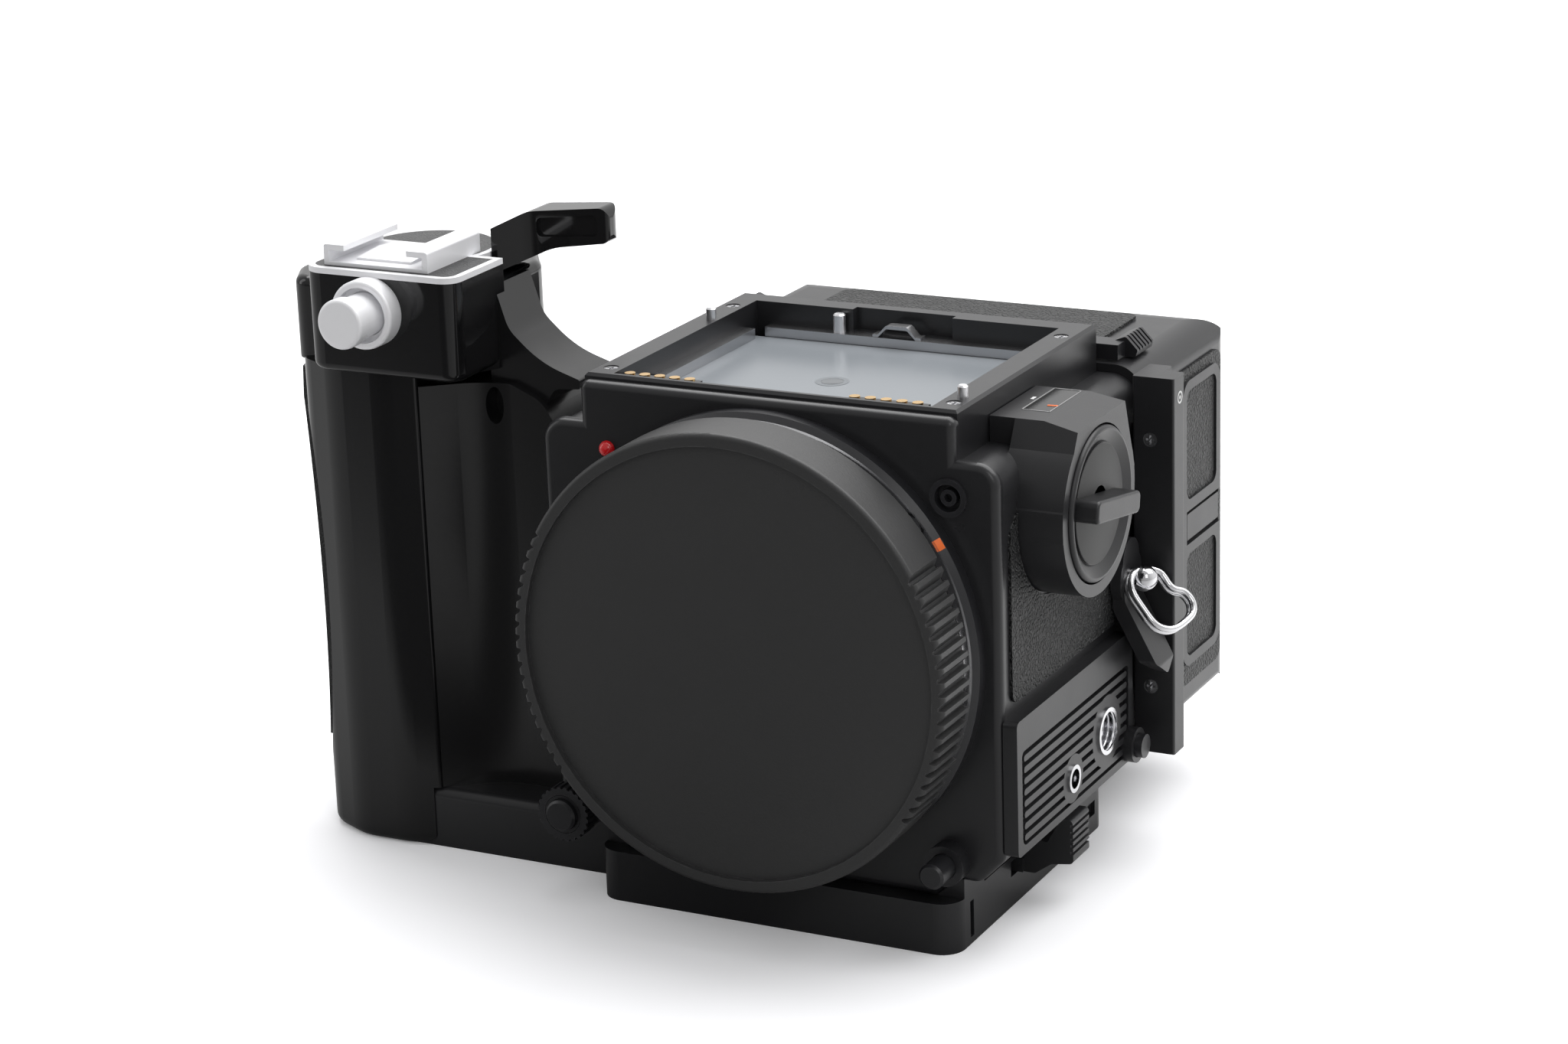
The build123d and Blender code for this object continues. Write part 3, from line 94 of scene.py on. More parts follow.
class CameraSizes(PropertyGroup):
    """Sizes of the pieces that are modelled here."""

    ring_wire: length_property("Strap ring wire", "Radius of the wire", 0.00058)
    ring_gap: length_property("Strap ring pitch", "Distance between the two turns of wire", 0.00125)
    spot: length_property("Split image spot", "Radius of the spot in the middle of the screen", 0.0019)
    spot_collar: length_property("Spot collar", "Outer radius of the ring around the spot", 0.0029)
    dial_grain: length_property("Dial covering", "Radius of the grained disc on the speed dial", 0.00992)
    mark_length: length_property("Index mark length", "Length of the painted index marks", 0.0019)
    mark_width: length_property("Index mark width", "Width of the painted index marks", 0.00055)
    mark_depth: length_property("Index mark height", "How far a painted mark stands off its surface", 0.00008)
    thread_wire: length_property("Socket thread", "Radius of one turn of the socket's thread", 0.0002)
    target_mark: length_property("Slide target mark", "Outer radius of the ring mark on the dark slide", 0.0011)


# Shader groups

# the mix node's colour sockets, which share their names with its number and vector sockets
MIX_A = 6
MIX_B = 7
MIX_RESULT = 2
UNEVEN_SCALE = 90.0
LEATHER_WANDER = 0.0006
CELL_ROUND = 0.35
CREASE_WIDE = 0.12
# where the bent normal of an edge starts to show as wear, and where it shows fully
EDGE_STARTS = 0.99
EDGE_FULL = 0.8
WEAR_SCALE = 700.0
WEAR_PATCHES = (0.4, 0.62)


def group_shell(name, inputs, outputs):
    """Starts a shader group with named sockets and returns its tree, input node and output node."""
    tree = bpy.data.node_groups.new(name, "ShaderNodeTree")
    for label, kind, value in inputs:
        socket = tree.interface.new_socket(label, in_out="INPUT", socket_type=kind)
        if value is not None:
            socket.default_value = value
    for label, kind in outputs:
        tree.interface.new_socket(label, in_out="OUTPUT", socket_type=kind)
    return tree, tree.nodes.new("NodeGroupInput"), tree.nodes.new("NodeGroupOutput")


def fill_inputs(tree, node, links):
    """Links sockets to a node's inputs, and sets plain values on the others."""
    for target, source in links:
        if isinstance(source, bpy.types.NodeSocket):
            tree.links.new(source, node.inputs[target])
        else:
            node.inputs[target].default_value = source
    return node


def add_node(tree, kind, links=(), **options):
    """Adds a node, sets its options and fills its inputs."""
    node = tree.nodes.new(kind)
    for key, value in options.items():
        setattr(node, key, value)
    return fill_inputs(tree, node, links)


def mix_colours(tree, factor, first, second):
    """Mixes two colours, each a plain value or a socket, and returns the result's socket."""
    node = add_node(
        tree, "ShaderNodeMix", [("Factor", factor), (MIX_A, first), (MIX_B, second)], data_type="RGBA"
    )
    return node.outputs[MIX_RESULT]


def make_grain_group():
    """Fine speckle for paint and moulded plastic: a height and an uneven roughness."""
    tree, start, end = group_shell(
        "Fine grain",
        [
            ("Vector", "NodeSocketVector", None),
            ("Scale", "NodeSocketFloat", 3000.0),
            ("Roughness", "NodeSocketFloat", 0.4),
            ("Unevenness", "NodeSocketFloat", 0.1),
        ],
        [("Height", "NodeSocketFloat"), ("Roughness", "NodeSocketFloat")],
    )
    fine = add_node(
        tree, "ShaderNodeTexNoise",
        [("Vector", start.outputs["Vector"]), ("Scale", start.outputs["Scale"]), ("Detail", 3.0)],
    )
    broad = add_node(
        tree, "ShaderNodeTexNoise",
        [("Vector", start.outputs["Vector"]), ("Scale", UNEVEN_SCALE), ("Detail", 5.0), ("Roughness", 0.6)],
    )
    centred = add_node(tree, "ShaderNodeMath", [(0, broad.outputs["Fac"]), (1, 0.5)], operation="SUBTRACT")
    spread = add_node(
        tree, "ShaderNodeMath", [(0, centred.outputs[0]), (1, start.outputs["Unevenness"])],
        operation="MULTIPLY",
    )
    rough = add_node(
        tree, "ShaderNodeMath", [(0, spread.outputs[0]), (1, start.outputs["Roughness"])],
        operation="ADD", use_clamp=True,
    )
    tree.links.new(fine.outputs["Fac"], end.inputs["Height"])
    tree.links.new(rough.outputs[0], end.inputs["Roughness"])
    return tree


def make_leather_group():
    """Pebbled leather: rounded cells with creases between them, and a mask of painted shade in the creases."""
    tree, start, end = group_shell(
        "Leather grain",
        [
            ("Vector", "NodeSocketVector", None),
            ("Scale", "NodeSocketFloat", 900.0),
            ("Crease", "NodeSocketFloat", 0.5),
        ],
        [("Height", "NodeSocketFloat"), ("Painted crease shade", "NodeSocketFloat")],
    )
    wander = add_node(
        tree, "ShaderNodeTexNoise",
        [("Vector", start.outputs["Vector"]), ("Scale", start.outputs["Scale"]), ("Detail", 2.0)],
    )
    shift = add_node(
        tree, "ShaderNodeVectorMath", [(0, wander.outputs["Color"]), ("Scale", LEATHER_WANDER)],
        operation="SCALE",
    )
    moved = add_node(
        tree, "ShaderNodeVectorMath", [(0, start.outputs["Vector"]), (1, shift.outputs[0])], operation="ADD"
    )
    cells = add_node(
        tree, "ShaderNodeTexVoronoi",
        [("Vector", moved.outputs[0]), ("Scale", start.outputs["Scale"])], feature="DISTANCE_TO_EDGE",
    )
    rounded = add_node(
        tree, "ShaderNodeMapRange",
        [("Value", cells.outputs["Distance"]), ("From Max", CELL_ROUND), ("To Max", 1.0)],
        interpolation_type="SMOOTHERSTEP",
    )
    # the creases get painted shade: this mask darkens the colour between the cells
    crease = add_node(
        tree, "ShaderNodeMapRange",
        [("Value", cells.outputs["Distance"]), ("From Max", CREASE_WIDE), ("To Min", 1.0), ("To Max", 0.0)],
    )
    mask = add_node(
        tree, "ShaderNodeMath", [(0, crease.outputs[0]), (1, start.outputs["Crease"])],
        operation="MULTIPLY", use_clamp=True,
    )
    tree.links.new(rounded.outputs[0], end.inputs["Height"])
    tree.links.new(mask.outputs[0], end.inputs["Painted crease shade"])
    return tree


def make_wear_group():
    """Lighter, slightly rubbed edges where two faces meet, with a broken outline."""
    tree, start, end = group_shell(
        "Edge wear",
        [
            ("Vector", "NodeSocketVector", None),
            ("Colour", "NodeSocketColor", (0.01, 0.01, 0.01, 1.0)),
            ("Edge colour", "NodeSocketColor", (0.08, 0.08, 0.085, 1.0)),
            ("Width", "NodeSocketFloat", 0.0003),
            ("Amount", "NodeSocketFloat", 0.3),
        ],
        [("Colour", "NodeSocketColor"), ("Mask", "NodeSocketFloat")],
    )
    soft = add_node(tree, "ShaderNodeBevel", [("Radius", start.outputs["Width"])], samples=4)
    real = add_node(tree, "ShaderNodeNewGeometry")
    same = add_node(
        tree, "ShaderNodeVectorMath", [(0, soft.outputs[0]), (1, real.outputs["Normal"])],
        operation="DOT_PRODUCT",
    )
    edge = add_node(
        tree, "ShaderNodeMapRange",
        [("Value", same.outputs["Value"]), ("From Min", EDGE_STARTS), ("From Max", EDGE_FULL), ("To Max", 1.0)],
    )
    broken = add_node(
        tree, "ShaderNodeTexNoise",
        [("Vector", start.outputs["Vector"]), ("Scale", WEAR_SCALE), ("Detail", 4.0)],
    )
    patch = add_node(
        tree, "ShaderNodeMapRange",
        [("Value", broken.outputs["Fac"]), ("From Min", WEAR_PATCHES[0]), ("From Max", WEAR_PATCHES[1])],
    )
    both = add_node(tree, "ShaderNodeMath", [(0, edge.outputs[0]), (1, patch.outputs[0])], operation="MULTIPLY")
    mask = add_node(
        tree, "ShaderNodeMath", [(0, both.outputs[0]), (1, start.outputs["Amount"])],
        operation="MULTIPLY", use_clamp=True,
    )
    mixed = mix_colours(tree, mask.outputs[0], start.outputs["Colour"], start.outputs["Edge colour"])
    tree.links.new(mixed, end.inputs["Colour"])
    tree.links.new(mask.outputs[0], end.inputs["Mask"])
    return tree


GROUP_MAKERS = {
    "Fine grain": make_grain_group,
    "Leather grain": make_leather_group,
    "Edge wear": make_wear_group,
}


def group_in(tree, name, links=()):
    """Places a shared shader group, built on first use, in a material."""
    shared = bpy.data.node_groups.get(name) or GROUP_MAKERS[name]()
    node = tree.nodes.new("ShaderNodeGroup")
    node.node_tree = shared
    return fill_inputs(tree, node, links)


def material_shell(name, roughness, metallic=0.0, **sockets):
    """Starts a material and returns it with its tree, its shader and object coordinates."""
    material = bpy.data.materials.new(name)
    material.use_nodes = True
    tree = material.node_tree
    shader = tree.nodes["Principled BSDF"]
    shader.inputs["Roughness"].default_value = roughness
    shader.inputs["Metallic"].default_value = metallic
    for label, value in sockets.items():
        shader.inputs[label.replace("_", " ").title()].default_value = value
    place = tree.nodes.new("ShaderNodeTexCoord").outputs["Object"]
    return material, tree, shader, place


def bump(tree, shader, height, strength, depth):
    """Links a height to the shader's normal through a bump node."""
    node = add_node(tree, "ShaderNodeBump", [("Height", height), ("Strength", strength), ("Distance", depth)])
    tree.links.new(node.outputs["Normal"], shader.inputs["Normal"])


def rgba(colour):
    return (*colour, 1.0)


def grey(level):
    return (level, level, level, 1.0)


def scaled(colour, factor):
    return tuple(part * factor for part in colour)


# how much lighter an edge wears, how dark the painted shade in the leather's creases is, and how dark the dull
# patches are beside the finish
WORN_GAIN = 3.0
WORN_LIFT = 0.03
CREASE_PAINTED_SHADE = 0.45
DULL_SHADE = 0.82
CLOUD_SCALE = 120.0
LEATHER_UNEVEN = 0.12
PAINT_BUMP = 0.5
LEATHER_BUMP = 0.8
METAL_BUMP = 0.3
MIRROR_COLOUR = (0.9, 0.9, 0.92)


def paint_finish(name, colour, roughness, grain=3000.0, depth=0.00002, uneven=0.1, wear=0.25, **sockets):
    """Paint or moulded plastic with a fine grain and slightly rubbed edges."""
    material, tree, shader, place = material_shell(name, roughness, **sockets)
    fine = group_in(
        tree, "Fine grain",
        [("Vector", place), ("Scale", grain), ("Roughness", roughness), ("Unevenness", uneven)],
    )
    tree.links.new(fine.outputs["Roughness"], shader.inputs["Roughness"])
    edge = tuple(min(1.0, part * WORN_GAIN + WORN_LIFT) for part in colour)
    worn = group_in(
        tree, "Edge wear",
        [("Vector", place), ("Colour", rgba(colour)), ("Edge colour", rgba(edge)), ("Amount", wear)],
    )
    tree.links.new(worn.outputs["Colour"], shader.inputs["Base Color"])
    bump(tree, shader, fine.outputs["Height"], PAINT_BUMP, depth)
    return material


def leather_finish(name, colour, scale, depth, roughness):
    """Grained leather or rubber covering."""
    material, tree, shader, place = material_shell(name, roughness)
    cells = group_in(tree, "Leather grain", [("Vector", place), ("Scale", scale)])
    # painted shade: the creases between the leather's cells are darkened in its colour
    dark = scaled(colour, CREASE_PAINTED_SHADE)
    mixed = mix_colours(tree, cells.outputs["Painted crease shade"], rgba(colour), rgba(dark))
    tree.links.new(mixed, shader.inputs["Base Color"])
    fine = group_in(
        tree, "Fine grain", [("Vector", place), ("Roughness", roughness), ("Unevenness", LEATHER_UNEVEN)]
    )
    tree.links.new(fine.outputs["Roughness"], shader.inputs["Roughness"])
    bump(tree, shader, cells.outputs["Height"], LEATHER_BUMP, depth)
    return material


def metal_finish(name, colour, roughness, grain=2500.0, depth=0.00001, uneven=0.08):
    """Bare or plated metal with a light uneven polish."""
    material, tree, shader, place = material_shell(name, roughness, 1.0)
    fine = group_in(
        tree, "Fine grain",
        [("Vector", place), ("Scale", grain), ("Roughness", roughness), ("Unevenness", uneven)],
    )
    tree.links.new(fine.outputs["Roughness"], shader.inputs["Roughness"])
    cloud = add_node(tree, "ShaderNodeTexNoise", [("Vector", place), ("Scale", CLOUD_SCALE), ("Detail", 4.0)])
    dull = scaled(colour, DULL_SHADE)
    mixed = mix_colours(tree, cloud.outputs["Fac"], rgba(colour), rgba(dull))
    tree.links.new(mixed, shader.inputs["Base Color"])
    bump(tree, shader, fine.outputs["Height"], METAL_BUMP, depth)
    return material


def make_finishes():
    """Makes each named finish once, from the colours in the panel."""
    c = bpy.context.scene.film_camera_colours
    paint = {
        # name: colour, roughness and what differs from a plain paint
        "satin_paint": (c.paint, 0.3, {"grain": 3500.0, "depth": 0.000012, "uneven": 0.12}),
        "body_paint": (c.paint, 0.36, {"depth": 0.000018}),
        "gloss_black": (c.gloss, 0.07, {"grain": 900.0, "depth": 0.000004, "uneven": 0.05, "wear": 0.1}),
        "deep_black": (c.gloss, 0.2, {"grain": 900.0, "depth": 0.000004, "wear": 0.1}),
        "cap_plastic": (c.moulded, 0.46, {"grain": 2200.0, "depth": 0.00005, "wear": 0.4}),
        "matte_black": (c.moulded, 0.7, {"grain": 2600.0}),
        "black_metal": (c.anodised, 0.34, {"grain": 4000.0, "depth": 0.000012, "wear": 0.5}),
        "silver_face": (c.aluminium, 0.36, {"grain": 6000.0, "wear": 0.0, "metallic": 0.15}),
        "red_enamel": (c.red, 0.15, {"wear": 0.0, "coat_weight": 0.6}),
        "orange_paint": (c.orange, 0.4, {"wear": 0.0}),
        "white_paint": (c.white, 0.45, {"wear": 0.0}),
        "grey_paint": (scaled(c.white, 0.35), 0.3, {"wear": 0.0}),
        "ground_glass": (c.glass, 0.22, {"grain": 5000.0, "depth": 0.000006, "wear": 0.0}),
        "spot_glass": (scaled(c.glass, 0.55), 0.12, {"wear": 0.0}),
        "collar_glass": (scaled(c.glass, 0.72), 0.5, {"wear": 0.0}),
        "window_black": (c.gloss, 0.06, {"wear": 0.0}),
    }
    leather = {
        # name: cells per metre, height of the grain and roughness
        "leather": (1150.0, 0.0006, 0.5),
        "pad_rubber": (1500.0, 0.00012, 0.55),
        "fine_leather": (1700.0, 0.00012, 0.38),
    }
    metal = {
        # name: colour, roughness and what differs from a plain metal
        "aluminium": (c.aluminium, 0.32, {"grain": 6000.0, "depth": 0.000015}),
        "chrome": (c.chrome, 0.1, {}),
        "steel": (scaled(c.chrome, 0.75), 0.25, {}),
        "gold": (c.gold, 0.22, {}),
        "mirror_silver": (MIRROR_COLOUR, 0.03, {"uneven": 0.02}),
    }
    made = {}
    for name, (colour, roughness, more) in paint.items():
        made[name] = paint_finish(name, colour, roughness, **more)
    for name, (scale, depth, roughness) in leather.items():
        made[name] = leather_finish(name, c.leather, scale, depth, roughness)
    for name, (colour, roughness, more) in metal.items():
        made[name] = metal_finish(name, colour, roughness, **more)
    return made


NODE_FINISHES = {
    "satin_paint": ["front_plate", "finder_frame", "base_plate", "back_shell", "back_door"],
    "body_paint": [
        "body_shell", "dial_housing", "side_panel", "back_frame", "back_trims", "shutter_dial",
        "dark_slide_handle", "exposure_lever", "lock_slide",
    ],
    "gloss_black": ["grip_inner_shell", "grip_outer_shell", "advance_lever"],
    "deep_black": ["coupling_housing"],
    "cap_plastic": ["body_cap"],
    "matte_black": [
        "mirror_box", "mirror_carrier", "light_baffle", "screen_frame", "film_insert", "takeup_spool",
        "supply_spool",
    ],
    "black_metal": [
        "mount_ring", "release_lock_collar", "release_button", "lens_release_collar", "lens_release_button",
        "side_button", "latch_right", "latch_left", "remote_socket",
    ],
    "leather": ["body_leathers", "back_leathers"],
    "pad_rubber": ["grip_pad"],
    "fine_leather": ["grip_top_skin"],
    "aluminium": ["finder_hardware"],
    "silver_face": ["accessory_shoe", "trigger_collar", "trigger_button", "grip_top_plate"],
    "chrome": ["accessory_socket", "sync_terminal", "bayonet_ring", "strap_lug", "strap_ring"],
    "steel": [
        "dark_slide_sheet", "dark_slide_screws", "tripod_bush", "lever_shaft", "coupling_shaft",
        "screen_springs",
    ],
    "gold": ["finder_contacts"],
    "red_enamel": ["alignment_dot"],
    "ground_glass": ["focusing_screen"],
    "mirror_silver": ["mirror_glass"],
    "window_black": ["dial_window"],
}


class FILMCAM_OT_finishes(Operator):
    """Give every piece of the camera its paint, leather, plastic or metal"""

    bl_idname = "filmcam.finishes"
    bl_label = "Finishes"

    def execute(self, context):
        finishes = make_finishes()
        named = {node for nodes in NODE_FINISHES.values() for node in nodes}
        missing = set(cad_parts) - named
        if missing:
            raise RuntimeError("no finish for " + ", ".join(sorted(missing)))
        for finish, nodes in NODE_FINISHES.items():
            for node in nodes:
                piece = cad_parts[node]
                if not piece.material_slots:
                    piece.data.materials.append(finishes[finish])
                for slot in piece.material_slots:
                    slot.material = finishes[finish]
        return {"FINISHED"}


# Modelled pieces. Points are in millimetres from the tripod socket across, from the mount plate in depth
# and from the underside in height, as in the part's source.

FRONT_DEPTH = 30.0
LUG_POINT = (46.6, 49.2, 51.0)
RING_TURN = math.radians(30)
RING_LEAN = math.radians(35)
# outline of the strap ring in its own plane, round its eight curve points: along and up
RING_OUTLINE = [
    (-2.9, 0.5), (2.6, 0.6), (4.3, -2.9), (6.6, -4.4),
    (7.0, -7.0), (4.6, -9.0), (-0.6, -9.3), (-2.9, -5.6),
]
RING_WIRE_STEPS = 10
RING_WIRE_SIDES = 4
FACING_UP = (0.0, 0.0, 0.0)
FACING_RIGHT = (0.0, math.radians(90), 0.0)
# how far the middle of a thin mark lies over its face, and how round the mark's edges are
MARK_LIFT = 0.02
MARK_ROUNDING = 0.03
SCREEN_TOP = 86.3
SPOT_POINT = (-1.6, 29.2)
SPOT_HEIGHT = 0.06
SPOT_SINK = 0.01
COLLAR_HEIGHT = 0.04
# the spot's sloping edge and the collar's inner radius, as shares of the spot's radius
SPOT_EDGE = 0.06
COLLAR_INNER = 1.04
DIAL_POINT = (49.55, 22.1, 72.5)
DIAL_COVER_HEIGHT = 0.1
SOCKET_POINT = (38.2, 26.8)
SOCKET_BORE = 3.4
THREAD_TURNS = (43.9, 42.9, 41.9)
WINDOW_CORNERS = ((37.4, 19.0), (42.4, 32.6))
WINDOW_TOP = 88.0
RIM_WIDTH = 0.22
RIM_HEIGHT = 0.12
RIM_INSET = 0.1
WINDOW_MARK_POINT = (41.4, 22.7)
WINDOW_MARK_TURN = math.radians(8)
TICK_POINT = (36.6, 25.8)
TICK_SHARE = 0.7
MOUNT_AXIS_HEIGHT = 50.6
# the index mark on the mount: distance from its axis, depth and angle round the axis
MOUNT_MARK = (38.3, -2.7, math.radians(32.2))
MOUNT_MARK_TURN = math.radians(-45)
MOUNT_MARK_WIDTH = 1.2
TARGET_POINT = (50.0, 57.1, 81.2)
# the ring mark's wall and the radius of its dot, as shares of its outer radius
TARGET_WALL = 0.28
TARGET_DOT = 0.3


def at(x, y, z):
    """A point of the shared frame from the part's own millimetres."""
    return Vector((x, y - FRONT_DEPTH, z)) * MM


def finish_piece(name, finish, body, smooth=30.0):
    """Names the active object, bakes its place into its mesh, shades it and lets it ride on a body."""
    piece = bpy.context.object
    piece.name = name
    piece.data.name = name
    bpy.ops.object.select_all(action="DESELECT")
    piece.select_set(True)
    bpy.ops.object.transform_apply(location=True, rotation=True, scale=True)
    bpy.ops.object.shade_smooth_by_angle(angle=math.radians(smooth))
    piece.data.materials.clear()
    piece.data.materials.append(bpy.data.materials[finish])
    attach(piece, body)
    return piece


def soften(width, segments=2):
    """Rounds the active object's edges with a bevel modifier and applies it."""
    rounding = bpy.context.object.modifiers.new("rounding", "BEVEL")
    rounding.width, rounding.segments, rounding.limit_method = width, segments, "ANGLE"
    bpy.ops.object.modifier_apply(modifier=rounding.name)


def add_disc(centre, turn, radius, depth, vertices=64):
    """A closed disc whose axis is turned from z by the given angles."""
    bpy.ops.object.select_all(action="DESELECT")
    bpy.ops.mesh.primitive_cylinder_add(
        vertices=vertices, radius=radius, depth=depth, location=centre, rotation=turn
    )
    return bpy.context.object


def pick_ends(piece):
    """Selects a disc's two round ends in edit mode."""
    bpy.ops.object.mode_set(mode="EDIT")
    bpy.ops.mesh.select_mode(type="FACE")
    bpy.ops.mesh.select_all(action="DESELECT")
    mesh = bmesh.from_edit_mesh(piece.data)
    for face in mesh.faces:
        face.select_set(len(face.verts) > 4)
    bmesh.update_edit_mesh(piece.data)


def open_ring(piece, wall):
    """Turns a disc into a ring with the given wall."""
    pick_ends(piece)
    bpy.ops.mesh.inset(thickness=wall)
    bpy.ops.mesh.delete(type="FACE")
    bpy.ops.mesh.select_mode(type="EDGE")
    bpy.ops.mesh.select_all(action="DESELECT")
    mesh = bmesh.from_edit_mesh(piece.data)
    for edge in mesh.edges:
        edge.select_set(edge.is_boundary)
    bmesh.update_edit_mesh(piece.data)
    bpy.ops.mesh.bridge_edge_loops()
    bpy.ops.mesh.select_all(action="SELECT")
    bpy.ops.mesh.normals_make_consistent(inside=False)
    bpy.ops.object.mode_set(mode="OBJECT")


def add_bar(centre, size, turn=FACING_UP):
    """A small bar with rounded edges."""
    bpy.ops.object.select_all(action="DESELECT")
    bpy.ops.mesh.primitive_cube_add(size=1.0, location=centre, rotation=turn, scale=size)
    bpy.ops.object.transform_apply(location=False, rotation=False, scale=True)
    soften(MARK_ROUNDING * MM)
    return bpy.context.object


def join(pieces):
    """Joins pieces into the last one."""
    bpy.ops.object.select_all(action="DESELECT")
    for piece in pieces:
        piece.select_set(True)
    bpy.context.view_layer.objects.active = pieces[-1]
    bpy.ops.object.join()
    return bpy.context.object


class FILMCAM_OT_strap_ring(Operator):
    """Bend the double wire ring that hangs from the strap lug"""

    bl_idname = "filmcam.strap_ring"
    bl_label = "Strap ring"

    def execute(self, context):
        sizes = context.scene.film_camera_sizes
        along = Vector((math.sin(RING_TURN), math.cos(RING_TURN), 0.0))
        outward = Vector((math.cos(RING_TURN), -math.sin(RING_TURN), 0.0))
        down = outward * math.sin(RING_LEAN) - Vector((0.0, 0.0, 1.0)) * math.cos(RING_LEAN)
        across = along.cross(down)
        turns = []
        for side in (-0.5, 0.5):
            bpy.ops.object.select_all(action="DESELECT")
            bpy.ops.curve.primitive_bezier_circle_add()
            bpy.ops.object.mode_set(mode="EDIT")
            bpy.ops.curve.select_all(action="SELECT")
            bpy.ops.curve.subdivide(number_cuts=1)
            bpy.ops.object.mode_set(mode="OBJECT")
            wire = context.object
            points = wire.data.splines[0].bezier_points
            if len(points) != len(RING_OUTLINE):
                raise RuntimeError("the strap ring's curve has the wrong number of points")
            for point, (t, v) in zip(points, RING_OUTLINE):
                place = at(*LUG_POINT) + (along * t - down * v) * MM + across * side * sizes.ring_gap
                point.handle_left_type = point.handle_right_type = "AUTO"
                point.co = place
            wire.data.dimensions = "3D"
            wire.data.bevel_depth = sizes.ring_wire
            wire.data.bevel_resolution = RING_WIRE_SIDES
            wire.data.resolution_u = RING_WIRE_STEPS
            bpy.ops.object.convert(target="MESH")
            turns.append(context.object)
        join(turns)
        piece = finish_piece("strap_ring_wire", "chrome", "ring", 60.0)
        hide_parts("strap_ring")
        return {"FINISHED"}


class FILMCAM_OT_screen_spot(Operator):
    """Set the split image spot and its collar in the focusing screen"""

    bl_idname = "filmcam.screen_spot"
    bl_label = "Screen spot"

    def execute(self, context):
        sizes = context.scene.film_camera_sizes
        centre = at(*SPOT_POINT, SCREEN_TOP + MARK_LIFT)
        spot = add_disc(centre, FACING_UP, sizes.spot, SPOT_HEIGHT * MM)
        pick_ends(spot)
        bpy.ops.mesh.inset(thickness=sizes.spot * SPOT_EDGE, depth=-SPOT_SINK * MM)
        bpy.ops.object.mode_set(mode="OBJECT")
        finish_piece("screen_spot", "spot_glass", "camera")
        collar = add_disc(centre, FACING_UP, sizes.spot_collar, COLLAR_HEIGHT * MM)
        open_ring(collar, sizes.spot_collar - sizes.spot * COLLAR_INNER)
        finish_piece("screen_collar", "collar_glass", "camera")
        return {"FINISHED"}


class FILMCAM_OT_dial_details(Operator):
    """Cover the speed dial with grain, and mark its window"""

    bl_idname = "filmcam.dial_details"
    bl_label = "Dial details"

    def execute(self, context):
        sizes = context.scene.film_camera_sizes
        add_disc(at(*DIAL_POINT), FACING_RIGHT, sizes.dial_grain, DIAL_COVER_HEIGHT * MM)
        soften(MARK_ROUNDING * MM)
        finish_piece("dial_grain", "leather", "dial")
        (x0, y0), (x1, y1) = WINDOW_CORNERS
        top = WINDOW_TOP + MARK_LIFT
        wide, high = RIM_WIDTH * MM, RIM_HEIGHT * MM
        rims = []
        for y in (y0 + RIM_INSET, y1 - RIM_INSET):
            rims.append(add_bar(at((x0 + x1) / 2, y, top), ((x1 - x0) * MM, wide, high)))
        for x in (x0 + RIM_INSET, x1 - RIM_INSET):
            rims.append(add_bar(at(x, (y0 + y1) / 2, top), (wide, (y1 - y0) * MM, high)))
        join(rims)
        finish_piece("dial_window_rim", "grey_paint", "camera")
        mark_size = (sizes.mark_length, sizes.mark_width, high)
        add_bar(at(*WINDOW_MARK_POINT, top), mark_size, (0.0, 0.0, WINDOW_MARK_TURN))
        finish_piece("dial_window_mark", "orange_paint", "camera")
        add_bar(at(*TICK_POINT, top), (sizes.mark_width, sizes.mark_length * TICK_SHARE, high))
        finish_piece("dial_tick", "white_paint", "camera")
        return {"FINISHED"}


class FILMCAM_OT_marks(Operator):
    """Paint the index mark on the mount and the plain ring mark on the dark slide"""

    bl_idname = "filmcam.marks"
    bl_label = "Marks"

    def execute(self, context):
        sizes = context.scene.film_camera_sizes
        reach, depth, angle = MOUNT_MARK
        place = at(reach * math.cos(angle), depth, MOUNT_AXIS_HEIGHT + reach * math.sin(angle))
        turn = Matrix.Rotation(-angle, 3, "Y") @ Matrix.Rotation(MOUNT_MARK_TURN, 3, "Z")
        add_bar(place, (sizes.mark_depth, MOUNT_MARK_WIDTH * MM, sizes.mark_length), turn.to_euler())
        finish_piece("mount_mark", "orange_paint", "camera")
        ring = add_disc(at(*TARGET_POINT), FACING_RIGHT, sizes.target_mark, sizes.mark_depth, 48)
        open_ring(ring, sizes.target_mark * TARGET_WALL)
        dot = add_disc(at(*TARGET_POINT), FACING_RIGHT, sizes.target_mark * TARGET_DOT, sizes.mark_depth, 32)
        join([ring, dot])
        finish_piece("slide_target_mark", "white_paint", "dark_slide")
        return {"FINISHED"}


class FILMCAM_OT_socket_threads(Operator):
    """Lay the turns of a thread in the accessory socket"""

    bl_idname = "filmcam.socket_threads"
    bl_label = "Socket threads"

    def execute(self, context):
        sizes = context.scene.film_camera_sizes
        turns = []
        for x in THREAD_TURNS:
            bpy.ops.object.select_all(action="DESELECT")
            bpy.ops.mesh.primitive_torus_add(
                location=at(x, *SOCKET_POINT), rotation=FACING_RIGHT, major_segments=64, minor_segments=8,
                major_radius=SOCKET_BORE * MM, minor_radius=sizes.thread_wire,
            )
            turns.append(context.object)
        join(turns)
        finish_piece("socket_thread", "chrome", "camera", 60.0)
        return {"FINISHED"}


# Stage, lamps and camera

# the camera is the one that the photo's straight edges were solved for
CAMERA_PLACE = Vector((0.27479, -0.55581, 0.25665))
CAMERA_TARGET = Vector((0.00344, -0.030, 0.0707))
CAMERA_ROLL = math.radians(-1.93)
LENS_LENGTH = 87.66
SENSOR_WIDTH = 36.0
VIEW_CLIP = (0.01, 20.0)
# the room's even light on everything that isn't gloss or glass
AMBIENT = 0.5
